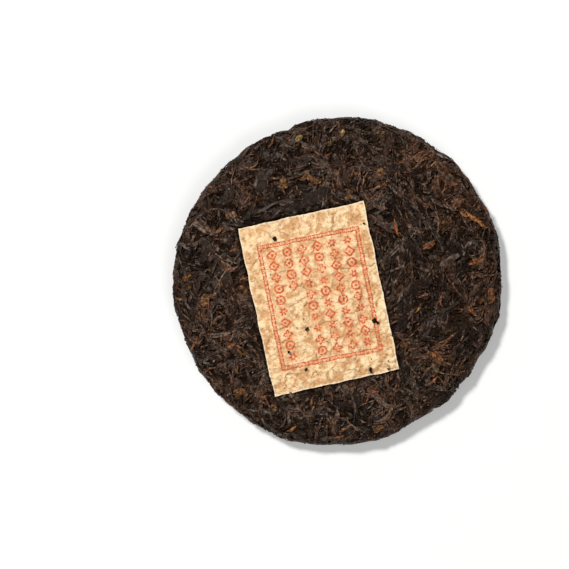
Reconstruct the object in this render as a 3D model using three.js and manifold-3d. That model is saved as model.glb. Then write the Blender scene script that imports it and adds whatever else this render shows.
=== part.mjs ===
// A ripe pu-erh mini tea cake: a domed disc of pressed dark tea leaves, lying with
// its face up, and the small paper ticket that was pressed into that face.
// Millimetres, +Z up. The origin is under the middle of the cake, on the surface
// that the cake rests on, and the ticket's upper edge is towards +Y.
import * as THREE from "three";
import { mergeVertices } from "three/addons/utils/BufferGeometryUtils.js";
import { ImprovedNoise } from "three/addons/math/ImprovedNoise.js";
import Module from "manifold-3d";

// The cake's section, from the crown over the rim to the dimple underneath
const CAKE_RADIUS = 55;
const CROWN_HEIGHT = 15;
const SHOULDER_RADIUS = 48.5;
const SHOULDER_HEIGHT = 10.4;
const WIDEST_HEIGHT = 5.2;
const REST_RING_OUTER = 45;
const REST_RING_INNER = 20;
const REST_RING_HEIGHT = 0.1; // the skin's mean height there, above its lowest leaves
const DIMPLE_RADIUS = 12;
const DIMPLE_DEPTH = 4.4;

// The cake isn't quite round: each wave adds a share of the radius, in lobes round
// the rim, with one lobe's peak at an angle from +X in degrees
const OUTLINE_WAVES = [
  { lobes: 2, share: 0.012, peak: 42 },
  { lobes: 3, share: 0.0037, peak: 37 },
  { lobes: 4, share: 0.0054, peak: 81 },
  { lobes: 11, share: 0.0029, peak: 20 },
  { lobes: 12, share: 0.0026, peak: 12 },
];

// The uneven skin: broad swells under it all, and leaf-sized bumps on the bare tea
const SWELL_LENGTH = 9;
const SWELL_HEIGHT = 0.45;
const BUMP_LENGTH = 4;
const BUMP_HEIGHT = 0.45;
const CORE_SPLITS = 10; // along each edge of the icosahedron that becomes the core

// The largest leaves, lying on the skin and half sunk in it
const LEAF_COUNT = 150;
const LEAF_LENGTH = { most: 15, least: 7 };
const LEAF_WIDTH = { most: 2.8, least: 1.4 };
const LEAF_HEIGHT = { most: 0.85, least: 0.5 };
const LEAF_ROOT = 0.5; // how deep a leaf's underside is sunk
const LEAF_BEND = 0.7; // radians from its middle to an end
const LEAF_CANDIDATES = 14; // places tried for each leaf, of which the emptiest is taken
const LEAF_SIDES = 4;
const LEAF_STEPS = 3; // along its length
const SWIRL_LENGTH = 26; // across one swirl of leaves that lie alike
const STRAY_ON_FACE = 0.8; // radians by which a leaf may lie across its swirl
const STRAY_ON_RIM = 0.45; // radians by which a leaf may leave the rim's direction
const SPARSE_BELOW = 1.6; // leaves on the underside lie this much further apart
const SEED = 22;

// The paper ticket, and the bed that it has pressed into the face
const TICKET_WIDTH = 42.7;
const TICKET_LENGTH = 57.2;
const TICKET_TAPER = 0.008; // the top edge is wider, and the bottom one narrower, by this share
const TICKET_CENTRE = new THREE.Vector2(-6, -6.5);
const TICKET_TURN = THREE.MathUtils.degToRad(12.1);
const TICKET_THICKNESS = 0.3;
const TICKET_SINK = 0.3; // from the smooth face down to the ticket's underside
const TICKET_WAVE = 0.3; // how far its edges wander
const TICKET_WAVES_UP = 9; // along a side edge
const TICKET_WAVES_ACROSS = 8; // along the upper or lower edge
const TICKET_COLUMNS = 16;
const TICKET_ROWS = 21;
const BED_GAP = 0.2;
const BED_MARGIN = 0.35;
const ABOVE_EVERYTHING = 30;

const SLIVER = 0.03; // detail finer than this is smoothed away after the joins
const PLAN_ORIGIN = new THREE.Vector2();

const wasm = await Module();
wasm.setup();

const noise = new ImprovedNoise();

// Numbers from 0 to 1 that are the same each time, from a linear congruential rule
function seededDraws(seed) {
  const multiplier = 1664525;
  const increment = 1013904223;
  const modulus = 2 ** 32;
  let state = seed;
  return () => {
    state = (state * multiplier + increment) % modulus;
    return state / modulus;
  };
}

// A number between -1 and 1
function eitherWay(draw) {
  return 2 * draw() - 1;
}

function between(range, share) {
  return range.least + (range.most - range.least) * share;
}

// Half of the cake's section, as radius and height, from the crown to the dimple
function cakeSection() {
  const domeSlope = (2 * (CROWN_HEIGHT - SHOULDER_HEIGHT)) / SHOULDER_RADIUS;
  const shoulderTurn = SHOULDER_HEIGHT - domeSlope * (CAKE_RADIUS - SHOULDER_RADIUS);
  const section = new THREE.Path();
  section.moveTo(0, CROWN_HEIGHT);
  section.quadraticCurveTo(SHOULDER_RADIUS / 2, CROWN_HEIGHT, SHOULDER_RADIUS, SHOULDER_HEIGHT);
  section.quadraticCurveTo(CAKE_RADIUS, shoulderTurn, CAKE_RADIUS, WIDEST_HEIGHT);
  section.quadraticCurveTo(CAKE_RADIUS, REST_RING_HEIGHT, REST_RING_OUTER, REST_RING_HEIGHT);
  section.lineTo(REST_RING_INNER, REST_RING_HEIGHT);
  section.bezierCurveTo(DIMPLE_RADIUS, REST_RING_HEIGHT, DIMPLE_RADIUS, DIMPLE_DEPTH, 0, DIMPLE_DEPTH);
  return section;
}

const section = cakeSection();
const sectionLength = section.getLength();

// How much wider than a true circle the cake is at an angle round it
function outlineShare(turn) {
  let share = 1;
  for (const wave of OUTLINE_WAVES) {
    share += wave.share * Math.cos(wave.lobes * (turn - THREE.MathUtils.degToRad(wave.peak)));
  }
  return share;
}

function swell(x, y, z) {
  return SWELL_HEIGHT * noise.noise(x / SWELL_LENGTH, y / SWELL_LENGTH, z / SWELL_LENGTH);
}

function bumps(x, y, z) {
  return BUMP_HEIGHT * noise.noise(x / BUMP_LENGTH, y / BUMP_LENGTH, z / BUMP_LENGTH);
}

// A point on the skin: turn is the angle round the cake, down the share of the way
// from the crown to the dimple, and lift a distance straight out of the skin
function skinPoint(turn, down, lift = 0) {
  const share = THREE.MathUtils.clamp(down, 0, 1);
  const flat = section.getPoint(share);
  const along = section.getTangent(share);
  const x = flat.x * outlineShare(turn) * Math.cos(turn);
  const y = flat.x * outlineShare(turn) * Math.sin(turn);
  const out = lift + swell(x, y, flat.y) + bumps(x, y, flat.y);
  return new THREE.Vector3(
    x - along.y * out * Math.cos(turn),
    y - along.y * out * Math.sin(turn),
    flat.y + along.x * out,
  );
}

// The face without its leaf-sized bumps, which is what the paper follows
function smoothFace(x, y) {
  const radius = Math.hypot(x, y) / outlineShare(Math.atan2(y, x));
  const drop = (CROWN_HEIGHT - SHOULDER_HEIGHT) * (radius / SHOULDER_RADIUS) ** 2;
  const height = CROWN_HEIGHT - drop;
  return height + swell(x, y, height);
}

// A geometry's shared vertices merged, so that it is one closed surface
function closedCopy(geometry) {
  const bare = geometry.clone();
  bare.deleteAttribute("normal");
  bare.deleteAttribute("uv");
  return mergeVertices(bare);
}

// Moves each vertex to where a function of its old place puts it
function reshape(geometry, place) {
  const position = geometry.attributes.position;
  const point = new THREE.Vector3();
  for (let i = 0; i < position.count; i += 1) {
    point.fromBufferAttribute(position, i);
    position.setXYZ(i, ...place(point).toArray());
  }
  return geometry;
}

function solidFrom(geometry) {
  const vertProperties = new Float32Array(geometry.attributes.position.array);
  const triVerts = new Uint32Array(geometry.index.array);
  return new wasm.Manifold(new wasm.Mesh({ numProp: 3, vertProperties, triVerts }));
}

function geometryFrom(solid) {
  const mesh = solid.getMesh();
  const geometry = new THREE.BufferGeometry();
  geometry.setAttribute("position", new THREE.BufferAttribute(mesh.vertProperties, 3));
  geometry.setIndex(new THREE.BufferAttribute(mesh.triVerts, 1));
  geometry.computeVertexNormals();
  return geometry;
}

// The bare cake: a ball of even triangles drawn out over the section
function cakeCore() {
  const ball = closedCopy(new THREE.IcosahedronGeometry(1, CORE_SPLITS));
  return solidFrom(
    reshape(ball, (point) => {
      const turn = Math.atan2(point.y, point.x);
      const down = Math.acos(THREE.MathUtils.clamp(point.z, -1, 1)) / Math.PI;
      return skinPoint(turn, down);
    }),
  );
}

// Whether a point of the face lies on the ticket
function onTicket(x, y) {
  const local = new THREE.Vector2(x, y).sub(TICKET_CENTRE).rotateAround(PLAN_ORIGIN, -TICKET_TURN);
  return Math.abs(local.x) < TICKET_WIDTH / 2 && Math.abs(local.y) < TICKET_LENGTH / 2;
}

// One place on the skin, drawn evenly over its area, where a leaf can lie
function leafPlace(draw) {
  for (;;) {
    const turn = draw() * 2 * Math.PI;
    const down = draw();
    const flat = section.getPoint(down);
    const even = draw() < flat.x / CAKE_RADIUS;
    const point = skinPoint(turn, down);
    const facesUp = flat.y > SHOULDER_HEIGHT;
    const covered = facesUp && onTicket(point.x, point.y);
    if (even && !covered) {
      const spacing = flat.y < WIDEST_HEIGHT ? SPARSE_BELOW : 1;
      return { turn, down, point, spacing, radius: flat.x };
    }
  }
}

// Leaves lie in swirls on the face and mostly along the rim round the side
function leafHeading(place, draw) {
  const { x, y, z } = place.point;
  const swirl = noise.noise(x / SWIRL_LENGTH, y / SWIRL_LENGTH, z / SWIRL_LENGTH);
  const onRim = THREE.MathUtils.smoothstep(place.radius, SHOULDER_RADIUS, CAKE_RADIUS);
  const faceHeading = 2 * Math.PI * swirl + STRAY_ON_FACE * eitherWay(draw);
  const rimHeading = STRAY_ON_RIM * eitherWay(draw);
  return THREE.MathUtils.lerp(faceHeading, rimHeading, onRim);
}

// One leaf: a long, flat, four-sided spindle that is bent over the skin
function leafSolid(place, sizeShare, draw) {
  const length = between(LEAF_LENGTH, sizeShare);
  const width = between(LEAF_WIDTH, draw());
  const height = between(LEAF_HEIGHT, draw());
  const heading = leafHeading(place, draw);
  const bend = LEAF_BEND * eitherWay(draw);
  const spindle = closedCopy(new THREE.SphereGeometry(1, LEAF_SIDES, LEAF_STEPS));
  return solidFrom(
    reshape(spindle, (point) => {
      const station = 1 - (2 * Math.acos(THREE.MathUtils.clamp(point.y, -1, 1))) / Math.PI;
      const direction = heading + (bend * station) / 2;
      const forward = (station * length) / 2;
      const aside = (point.x * width) / 2;
      const round = forward * Math.cos(direction) - aside * Math.sin(direction);
      const inward = forward * Math.sin(direction) + aside * Math.cos(direction);
      const lift = point.z > 0 ? point.z * height : point.z * LEAF_ROOT;
      return skinPoint(place.turn + round / place.radius, place.down + inward / sectionLength, lift);
    }),
  );
}

// The leaves' places, largest leaf first, each in the emptiest of a few drawn places
function spreadLeaves(draw) {
  const places = [];
  for (let i = 0; i < LEAF_COUNT; i += 1) {
    let best = null;
    for (let tried = 0; tried < LEAF_CANDIDATES; tried += 1) {
      const place = leafPlace(draw);
      const distances = places.map((other) => place.point.distanceTo(other.point));
      place.room = Math.min(Infinity, ...distances) / place.spacing;
      if (best === null || place.room > best.room) {
        best = place;
      }
    }
    places.push(best);
  }
  return places;
}

// The core with its leaves joined on
function leafyCake() {
  const draw = seededDraws(SEED);
  let cake = cakeCore();
  spreadLeaves(draw).forEach((place, i) => {
    const sizeShare = 1 - i / LEAF_COUNT;
    cake = cake.add(leafSolid(place, sizeShare, draw));
  });
  return cake;
}

// A closed sheet over a grid from -0.5 to 0.5 each way, both faces split alike
function sheetGeometry(columns, rows, upper, lower) {
  const grid = new THREE.PlaneGeometry(1, 1, columns, rows);
  const { position } = grid.attributes;
  const count = position.count;
  const places = [];
  for (const face of [upper, lower]) {
    for (let i = 0; i < count; i += 1) {
      places.push(...face(position.getX(i), position.getY(i)).toArray());
    }
  }
  const top = Array.from(grid.index.array);
  const bottom = top.map((corner) => corner + count).reverse();
  const triangles = [...top, ...bottom];
  const border = gridBorder(columns, rows);
  border.forEach((corner, i) => {
    const next = border[(i + 1) % border.length];
    triangles.push(corner + count, next + count, next);
    triangles.push(corner + count, next, corner);
  });
  const sheet = new THREE.BufferGeometry();
  sheet.setAttribute("position", new THREE.BufferAttribute(new Float32Array(places), 3));
  sheet.setIndex(triangles);
  return sheet;
}

// The grid's outer corners, anticlockwise from the one at the bottom left
function gridBorder(columns, rows) {
  const corner = (column, row) => row * (columns + 1) + column;
  const border = [];
  for (let column = 0; column < columns; column += 1) {
    border.push(corner(column, rows));
  }
  for (let row = rows; row > 0; row -= 1) {
    border.push(corner(columns, row));
  }
  for (let column = columns; column > 0; column -= 1) {
    border.push(corner(column, 0));
  }
  for (let row = 0; row < rows; row += 1) {
    border.push(corner(0, row));
  }
  return border;
}

// A point of the ticket in plan, u across and v along it, with edges that wander
function ticketPlan(u, v, margin) {
  const wanderAcross = TICKET_WAVE * noise.noise(u, v * TICKET_WAVES_UP, 0);
  const wanderAlong = TICKET_WAVE * noise.noise(u * TICKET_WAVES_ACROSS, v, 0);
  const width = TICKET_WIDTH * (1 + 2 * TICKET_TAPER * v) + 2 * margin;
  const length = TICKET_LENGTH + 2 * margin;
  const plan = new THREE.Vector2(u * width + wanderAcross, v * length + wanderAlong);
  return plan.rotateAround(PLAN_ORIGIN, TICKET_TURN).add(TICKET_CENTRE);
}

// A point of the ticket's underside, or of the bed when it is lowered and widened
function ticketUnderside(u, v, lower = 0, margin = 0) {
  const plan = ticketPlan(u, v, margin);
  return new THREE.Vector3(plan.x, plan.y, smoothFace(plan.x, plan.y) - TICKET_SINK - lower);
}

function paperTicket() {
  const rise = new THREE.Vector3(0, 0, TICKET_THICKNESS);
  return sheetGeometry(
    TICKET_COLUMNS,
    TICKET_ROWS,
    (u, v) => ticketUnderside(u, v).add(rise),
    (u, v) => ticketUnderside(u, v),
  );
}

// All that is above the ticket's bed, which the cake loses
function ticketBed() {
  return sheetGeometry(
    TICKET_COLUMNS,
    TICKET_ROWS,
    (u, v) => ticketUnderside(u, v, BED_GAP, BED_MARGIN).setZ(ABOVE_EVERYTHING),
    (u, v) => ticketUnderside(u, v, BED_GAP, BED_MARGIN),
  );
}

// All that is below the surface that the cake rests on
function belowTheCake() {
  const side = 3 * CAKE_RADIUS;
  return closedCopy(new THREE.BoxGeometry(side, side, side).translate(0, 0, -side / 2));
}

// The cake with the ticket's bed cut into its face and its lowest leaves pressed
// flat, without any scrap that a cut frees
function teaCake() {
  const bedded = leafyCake().subtract(solidFrom(ticketBed()));
  const cut = bedded.subtract(solidFrom(belowTheCake())).asOriginal().simplify(SLIVER);
  const pieces = cut.decompose().sort((one, other) => other.volume() - one.volume());
  return geometryFrom(pieces[0]);
}

function namedMesh(name, geometry, material) {
  const mesh = new THREE.Mesh(geometry, material);
  mesh.name = name;
  return mesh;
}

const teaLeaf = new THREE.MeshStandardMaterial({ color: 0x372a23, roughness: 0.7, metalness: 0 });
const ticketPaper = new THREE.MeshStandardMaterial({ color: 0xe5b382, roughness: 0.9, metalness: 0 });

const cakeMesh = namedMesh("tea_cake", teaCake(), teaLeaf);
const ticketMesh = namedMesh("paper_ticket", paperTicket(), ticketPaper);

const part = new THREE.Group();
part.add(cakeMesh, ticketMesh);

// Both pieces moved together, so that the origin is under the middle of the cake's box
cakeMesh.geometry.computeBoundingBox();
const middle = cakeMesh.geometry.boundingBox.getCenter(new THREE.Vector3());
for (const mesh of part.children) {
  mesh.position.set(-middle.x, -middle.y, 0);
}

export default part;
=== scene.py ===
# %% [markdown]
# # A ripe pu-erh mini tea cake
# Ripe pu-erh is tea that was piled damp until it turned dark brown. A weighed
# handful is steamed until it is limp, twisted up in a cloth bag and pressed under a
# stone. It dries into a hard disc whose skin is thousands of thin leaves lying over
# each other, with a dimple underneath where the bag's knot was. A small paper ticket
# is laid on the tea before the pressing, so it sits in the face and takes its relief.
#
# The solids give the true size and place of the cake and of its ticket. This script
# dresses them: a dark core, the kinds of leaf that are scattered over it, from long
# strands down to crumbs, and the paper with the bits that stick to it.

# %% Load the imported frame
import math

import bpy
import numpy as np
from mathutils import Matrix, Vector


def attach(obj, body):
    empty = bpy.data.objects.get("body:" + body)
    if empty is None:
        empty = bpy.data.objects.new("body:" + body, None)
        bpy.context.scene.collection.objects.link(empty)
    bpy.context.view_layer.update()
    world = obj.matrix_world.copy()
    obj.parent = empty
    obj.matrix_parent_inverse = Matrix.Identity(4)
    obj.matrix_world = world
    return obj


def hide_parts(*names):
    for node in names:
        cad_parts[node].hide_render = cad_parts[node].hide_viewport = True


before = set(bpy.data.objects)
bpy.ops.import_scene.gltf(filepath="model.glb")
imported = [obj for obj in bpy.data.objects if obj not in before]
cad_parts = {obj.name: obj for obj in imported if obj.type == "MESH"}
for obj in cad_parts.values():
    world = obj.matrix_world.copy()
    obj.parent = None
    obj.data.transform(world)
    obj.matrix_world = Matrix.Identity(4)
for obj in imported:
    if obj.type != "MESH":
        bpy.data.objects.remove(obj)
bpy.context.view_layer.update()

# %% [markdown]
# ## The cake's form
# Every leaf has to lie on the same skin, so the skin comes first, as a formula. Half
# of the cake's section runs from the crown over the rim to the dimple. It could be
# drawn as a curve object, but plain arrays are quicker to ask for thousands of
# places. All sizes are in millimetres, and one factor turns them into metres.

# %% The section from the crown to the dimple
MM = 0.001
CAKE_RADIUS = 55.0
CROWN_HEIGHT = 14.75
SHOULDER_RADIUS = 48.5
SHOULDER_HEIGHT = 10.2
WIDEST_HEIGHT = 5.2
REST_RING_OUTER = 45.0
REST_RING_INNER = 20.0
REST_RING_HEIGHT = 0.3
DIMPLE_RADIUS = 12.0
DIMPLE_DEPTH = 4.4
SECTION_STEP = 0.25


def bezier(controls, count=60):
    """Points along a Bezier curve, without its last one."""
    share = np.linspace(0, 1, count, endpoint=False)[:, None, None]
    points = np.repeat(np.array(controls, float)[None], count, axis=0)
    while points.shape[1] > 1:
        points = points[:, :-1] * (1 - share) + points[:, 1:] * share
    return points[:, 0]


def section_curves():
    """The stretches of the section, each as the controls of one curve."""
    slope = 2 * (CROWN_HEIGHT - SHOULDER_HEIGHT) / SHOULDER_RADIUS
    shoulder_turn = SHOULDER_HEIGHT - slope * (CAKE_RADIUS - SHOULDER_RADIUS)
    shoulder = (SHOULDER_RADIUS, SHOULDER_HEIGHT)
    widest = (CAKE_RADIUS, WIDEST_HEIGHT)
    outer = (REST_RING_OUTER, REST_RING_HEIGHT)
    inner = (REST_RING_INNER, REST_RING_HEIGHT)
    dome = [(0, CROWN_HEIGHT), (SHOULDER_RADIUS / 2, CROWN_HEIGHT), shoulder]
    upper_rim = [shoulder, (CAKE_RADIUS, shoulder_turn), widest]
    lower_rim = [widest, (CAKE_RADIUS, REST_RING_HEIGHT), outer]
    dimple_side = [(DIMPLE_RADIUS, REST_RING_HEIGHT), (DIMPLE_RADIUS, DIMPLE_DEPTH)]
    dimple = [inner, *dimple_side, (0, DIMPLE_DEPTH)]
    return [dome, upper_rim, lower_rim, [outer, inner], dimple]


corners = np.vstack([bezier(curve) for curve in section_curves()] + [[(0, DIMPLE_DEPTH)]])
steps = np.hypot(*np.diff(corners, axis=0).T)
corner_along = np.concatenate([[0], np.cumsum(steps)])
SECTION_LENGTH = corner_along[-1]
SKIN_ALONG = np.arange(0, SECTION_LENGTH, SECTION_STEP)
SKIN_RADIUS = np.interp(SKIN_ALONG, corner_along, corners[:, 0])
SKIN_HEIGHT = np.interp(SKIN_ALONG, corner_along, corners[:, 1])
SKIN_OUT = -np.gradient(SKIN_HEIGHT, SKIN_ALONG)
SKIN_UP = np.gradient(SKIN_RADIUS, SKIN_ALONG)
RIM_ALONG = SKIN_ALONG[np.argmax(SKIN_RADIUS)]
UNDERSIDE_REACH = SECTION_LENGTH - RIM_ALONG
print("the section is", round(SECTION_LENGTH, 1), "mm long, and widest after", round(RIM_ALONG, 1))

# %% [markdown]
# ## Uneven, but by rule
# A hand-pressed cake isn't round: its outline swells and narrows by half a millimetre
# or so, and the skin has broad lumps. Both are sums of a few waves. A noise texture
# could do it too, but waves can be asked for at any point, and give the same answer.

# %% Outline and swells
OUTLINE_WAVES = (
    dict(lobes=2, share=0.012, peak=42),
    dict(lobes=3, share=0.0037, peak=37),
    dict(lobes=4, share=0.0054, peak=81),
    dict(lobes=11, share=0.0029, peak=20),
    dict(lobes=12, share=0.0026, peak=12),
)
NICK_TURN = math.radians(107.7)
NICK_SHARE = 0.015
NICK_WIDTH = math.radians(1.4)


def outline_share(turn):
    """How much wider than a circle the cake is at an angle round it."""
    share = 1.0
    for wave in OUTLINE_WAVES:
        share = share + wave["share"] * np.cos(wave["lobes"] * (turn - math.radians(wave["peak"])))
    return share - NICK_SHARE * np.exp(-(((turn - NICK_TURN) / NICK_WIDTH) ** 2))


def wave_field(seed, wavelength, count=14):
    """A smooth field in space, about -1 to 1, that changes over one wavelength."""
    draw = np.random.default_rng(seed)
    directions = draw.normal(size=(count, 3))
    directions /= np.linalg.norm(directions, axis=1)[:, None]
    numbers = directions * 2 * math.pi / wavelength * draw.uniform(0.6, 1.5, count)[:, None]
    phases = draw.uniform(0, 2 * math.pi, count)

    def field(x, y, z):
        total = 0.0
        for number, phase in zip(numbers, phases):
            total = total + np.sin(x * number[0] + y * number[1] + z * number[2] + phase)
        return total / math.sqrt(count / 2)

    return field


broad_swell = wave_field(seed=1, wavelength=12.0)
leafy_swell = wave_field(seed=2, wavelength=5.0)


def swell(x, y, z):
    """How far the skin stands out at a point, in millimetres."""
    return 0.16 * broad_swell(x, y, z) + 0.08 * leafy_swell(x, y, z)


# %% [markdown]
# ## One map for the whole skin
# A leaf is bent over the skin by a map: two distances along the skin and one straight
# out of it become a place. The face is mapped from the crown outwards, and the
# underside from the middle of the dimple, so that neither has a seam, and both reach
# well past the rim. A soft floor keeps what would sink below the table above it, in
# the same order, as leaves that are pressed flat do.

# %% The map
PRESS_SOFTNESS = 0.1
FLUSH_LIFT = 0.5


def pressed_flat(z):
    """A height that never gets below the table, and keeps its order."""
    return PRESS_SOFTNESS * np.logaddexp(0, z / PRESS_SOFTNESS)


def pressed_under(ceiling, lift):
    """A lift that never gets above a ceiling, and keeps its order."""
    return ceiling - pressed_flat(ceiling - lift)


def on_skin(across, up, lift, under):
    """Places in millimetres for distances along the skin and out of it."""
    reach = np.hypot(across, up)
    turn = np.arctan2(np.where(under, -up, up), across)
    along = np.where(under, SECTION_LENGTH - reach, reach)
    radius = np.interp(along, SKIN_ALONG, SKIN_RADIUS) * outline_share(turn)
    height = np.interp(along, SKIN_ALONG, SKIN_HEIGHT)
    x = radius * np.cos(turn)
    y = radius * np.sin(turn)
    out = lift + swell(x, y, height)
    sideways = radius + np.interp(along, SKIN_ALONG, SKIN_OUT) * out
    z = height + np.interp(along, SKIN_ALONG, SKIN_UP) * out
    return np.stack([sideways * np.cos(turn), sideways * np.sin(turn), pressed_flat(z)], axis=-1)


def smooth_face(x, y):
    """The face's height under the paper, with the swells but without leaves."""
    radius = np.hypot(x, y) / outline_share(np.arctan2(y, x))
    height = CROWN_HEIGHT - (CROWN_HEIGHT - SHOULDER_HEIGHT) * (radius / SHOULDER_RADIUS) ** 2
    return height + swell(x, y, height)


print("the crown is at", on_skin(0.0, 0.0, 0.0, False).round(2), "mm")

# %% [markdown]
# ## Where things are in the photograph
# The camera looks nearly straight at the face, so one pixel of the photograph is the
# same share of a millimetre all over the level where the cake is widest. The crown is
# nearer to the camera than that level, so it shows a little further out. A mark seen
# at a pixel is therefore followed along the line of sight until it meets the skin.

# %% From a pixel to the skin
MM_PER_PIXEL = 0.3371
IMAGE_PIXELS = 569
CAKE_MIDDLE_X = 337.0
CAKE_MIDDLE_Y = 280.5
CAMERA_DISTANCE = 700
CAMERA_TILT = math.radians(5)
CAMERA_SIDE = math.radians(-48)
TICKET_WIDTH = 42.7
TICKET_LENGTH = 57.2
TICKET_TAPER = 0.008
TICKET_CENTRE = (-5.9, -6.65)
TICKET_TURN = math.radians(12.1)


def level_place(column, row):
    """Where a pixel lies on the level at which the cake is widest, in millimetres."""
    east = (column - CAKE_MIDDLE_X) * MM_PER_PIXEL
    north = (CAKE_MIDDLE_Y - row) * MM_PER_PIXEL
    return Vector((east, north, WIDEST_HEIGHT))


CAMERA_AIM = level_place(IMAGE_PIXELS / 2, IMAGE_PIXELS / 2)
CAMERA_PLACE = CAMERA_AIM + CAMERA_DISTANCE * Vector(
    (
        math.sin(CAMERA_TILT) * math.cos(CAMERA_SIDE),
        math.sin(CAMERA_TILT) * math.sin(CAMERA_SIDE),
        math.cos(CAMERA_TILT),
    )
)


def face_of_plan(x, y):
    """The distance along the skin from the crown, and the height, of a place in plan."""
    upper = SKIN_ALONG <= RIM_ALONG
    radius = math.hypot(x, y) / outline_share(math.atan2(y, x))
    along = np.interp(radius, SKIN_RADIUS[upper], SKIN_ALONG[upper])
    return along, np.interp(along, SKIN_ALONG, SKIN_HEIGHT)


def plan_of_pixel(column, row):
    """The place in plan where the line of sight through a pixel meets the skin."""
    flat = level_place(column, row)
    place = flat
    for _ in range(3):
        rise = face_of_plan(place.x, place.y)[1] - WIDEST_HEIGHT
        place = flat + (CAMERA_PLACE - flat) * (rise / (CAMERA_PLACE.z - WIDEST_HEIGHT))
    return place.x, place.y


def skin_of_plan(x, y):
    """Distances along the skin from the crown of a place seen in plan."""
    along = face_of_plan(x, y)[0]
    turn = math.atan2(y, x)
    return along * math.cos(turn), along * math.sin(turn)


def ticket_frame(x, y):
    """A place in plan in the ticket's own directions, across and along it."""
    east = x - TICKET_CENTRE[0]
    north = y - TICKET_CENTRE[1]
    across = east * math.cos(TICKET_TURN) + north * math.sin(TICKET_TURN)
    along = north * math.cos(TICKET_TURN) - east * math.sin(TICKET_TURN)
    return across, along


def depth_in_ticket(x, y):
    """How far inside the ticket's edge a place in plan is, below zero outside."""
    across, along = ticket_frame(x, y)
    half_width = TICKET_WIDTH / 2 * (1 + 2 * TICKET_TAPER * along / TICKET_LENGTH)
    return np.minimum(half_width - np.abs(across), TICKET_LENGTH / 2 - np.abs(along))


# %% [markdown]
# ## One leaf of each kind
# A tea leaf is rolled by hand while it is soft, so it dries as a twisted, folded
# strand. It could be a curve with a bevel, but then every copy would be a curve. Here
# one circle is pulled out ring by ring, and each ring is turned and resized a little
# more, which is how a rolled leaf grows under the fingers. Each kind is modelled once,
# a unit long, and its vertices are then copied over the skin by the thousand.

# %% Helpers for modelling by operators
def deselect_all():
    bpy.ops.object.select_all(action="DESELECT")


def edit(piece):
    """Selects one piece, makes it active and enters edit mode with all selected."""
    deselect_all()
    piece.select_set(True)
    bpy.context.view_layer.objects.active = piece
    bpy.ops.object.mode_set(mode="EDIT")
    bpy.ops.mesh.select_all(action="SELECT")


def leave_edit():
    bpy.ops.object.mode_set(mode="OBJECT")


def apply_place(piece):
    """Puts a piece's place, turn and size into its mesh."""
    deselect_all()
    piece.select_set(True)
    bpy.context.view_layer.objects.active = piece
    bpy.ops.object.transform_apply(location=True, rotation=True, scale=True)


def points_of(piece):
    """A piece's vertices as an array, a row for each."""
    flat = np.empty(len(piece.data.vertices) * 3)
    piece.data.vertices.foreach_get("co", flat)
    return flat.reshape(-1, 3)


def set_points(piece, points):
    piece.data.vertices.foreach_set("co", np.ascontiguousarray(points).ravel())
    piece.data.update()


# %% The rolled leaf
def pulled_strand(name, sides, rings, widths, twist, folds):
    """A strand one unit long: a folded circle drawn out ring by ring, twisting."""
    deselect_all()
    bpy.ops.mesh.primitive_circle_add(
        vertices=sides, radius=0.5, fill_type="NGON", rotation=(0, math.pi / 2, 0)
    )
    strand = bpy.context.object
    strand.name = name
    apply_place(strand)
    points = points_of(strand)
    turn = np.arctan2(points[:, 2], points[:, 1])
    points *= (1 - folds * (0.5 + 0.5 * np.cos(2 * turn + 0.6)) ** 2)[:, None]
    points *= widths[0]
    set_points(strand, points)
    edit(strand)
    step = 1 / (rings - 1)
    for ring in range(1, rings):
        middle = (ring * step, 0, 0)
        growth = widths[ring] / widths[ring - 1]
        bpy.ops.mesh.extrude_region_move(TRANSFORM_OT_translate={"value": (step, 0, 0)})
        bpy.ops.transform.resize(value=(1, growth, growth), center_override=middle)
        bpy.ops.transform.rotate(value=twist * step, orient_axis="X", center_override=middle)
    bpy.ops.mesh.select_all(action="SELECT")
    bpy.ops.mesh.normals_make_consistent(inside=False)
    bpy.ops.mesh.quads_convert_to_tris()
    leave_edit()
    set_points(strand, points_of(strand) - np.array((0.5, 0, 0)))
    return strand


def spindle_widths(rings, fullness, thin_end):
    """Widths along a strand that is fullest in the middle."""
    share = np.linspace(0, 1, rings)
    return thin_end + (1 - thin_end) * np.sin(math.pi * share) ** fullness


tight_leaf = pulled_strand("tight_leaf", 5, 8, spindle_widths(8, 0.4, 0.35), math.radians(400), 0.6)
loose_leaf = pulled_strand("loose_leaf", 5, 7, spindle_widths(7, 0.35, 0.4), math.radians(150), 0.65)
folded_leaf = pulled_strand("folded_leaf", 5, 7, spindle_widths(7, 0.45, 0.3), math.radians(-90), 0.7)
bud = pulled_strand("bud", 6, 7, spindle_widths(7, 0.9, 0.1), math.radians(60), 0.25)
stalk = pulled_strand("stalk", 5, 8, spindle_widths(8, 0.15, 0.7), math.radians(40), 0.1)
thread = pulled_strand("thread", 3, 6, spindle_widths(6, 0.3, 0.45), math.radians(90), 0.2)
print("a tight leaf has", len(tight_leaf.data.polygons), "faces, a loose one", len(loose_leaf.data.polygons))

# %% [markdown]
# Some leaves come out of the press opened and flat, as plates with a midrib. A plate
# is a small grid, narrowed to a leaf's outline, raised along its midrib, curled and
# given its thickness by a Solidify modifier.

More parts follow.
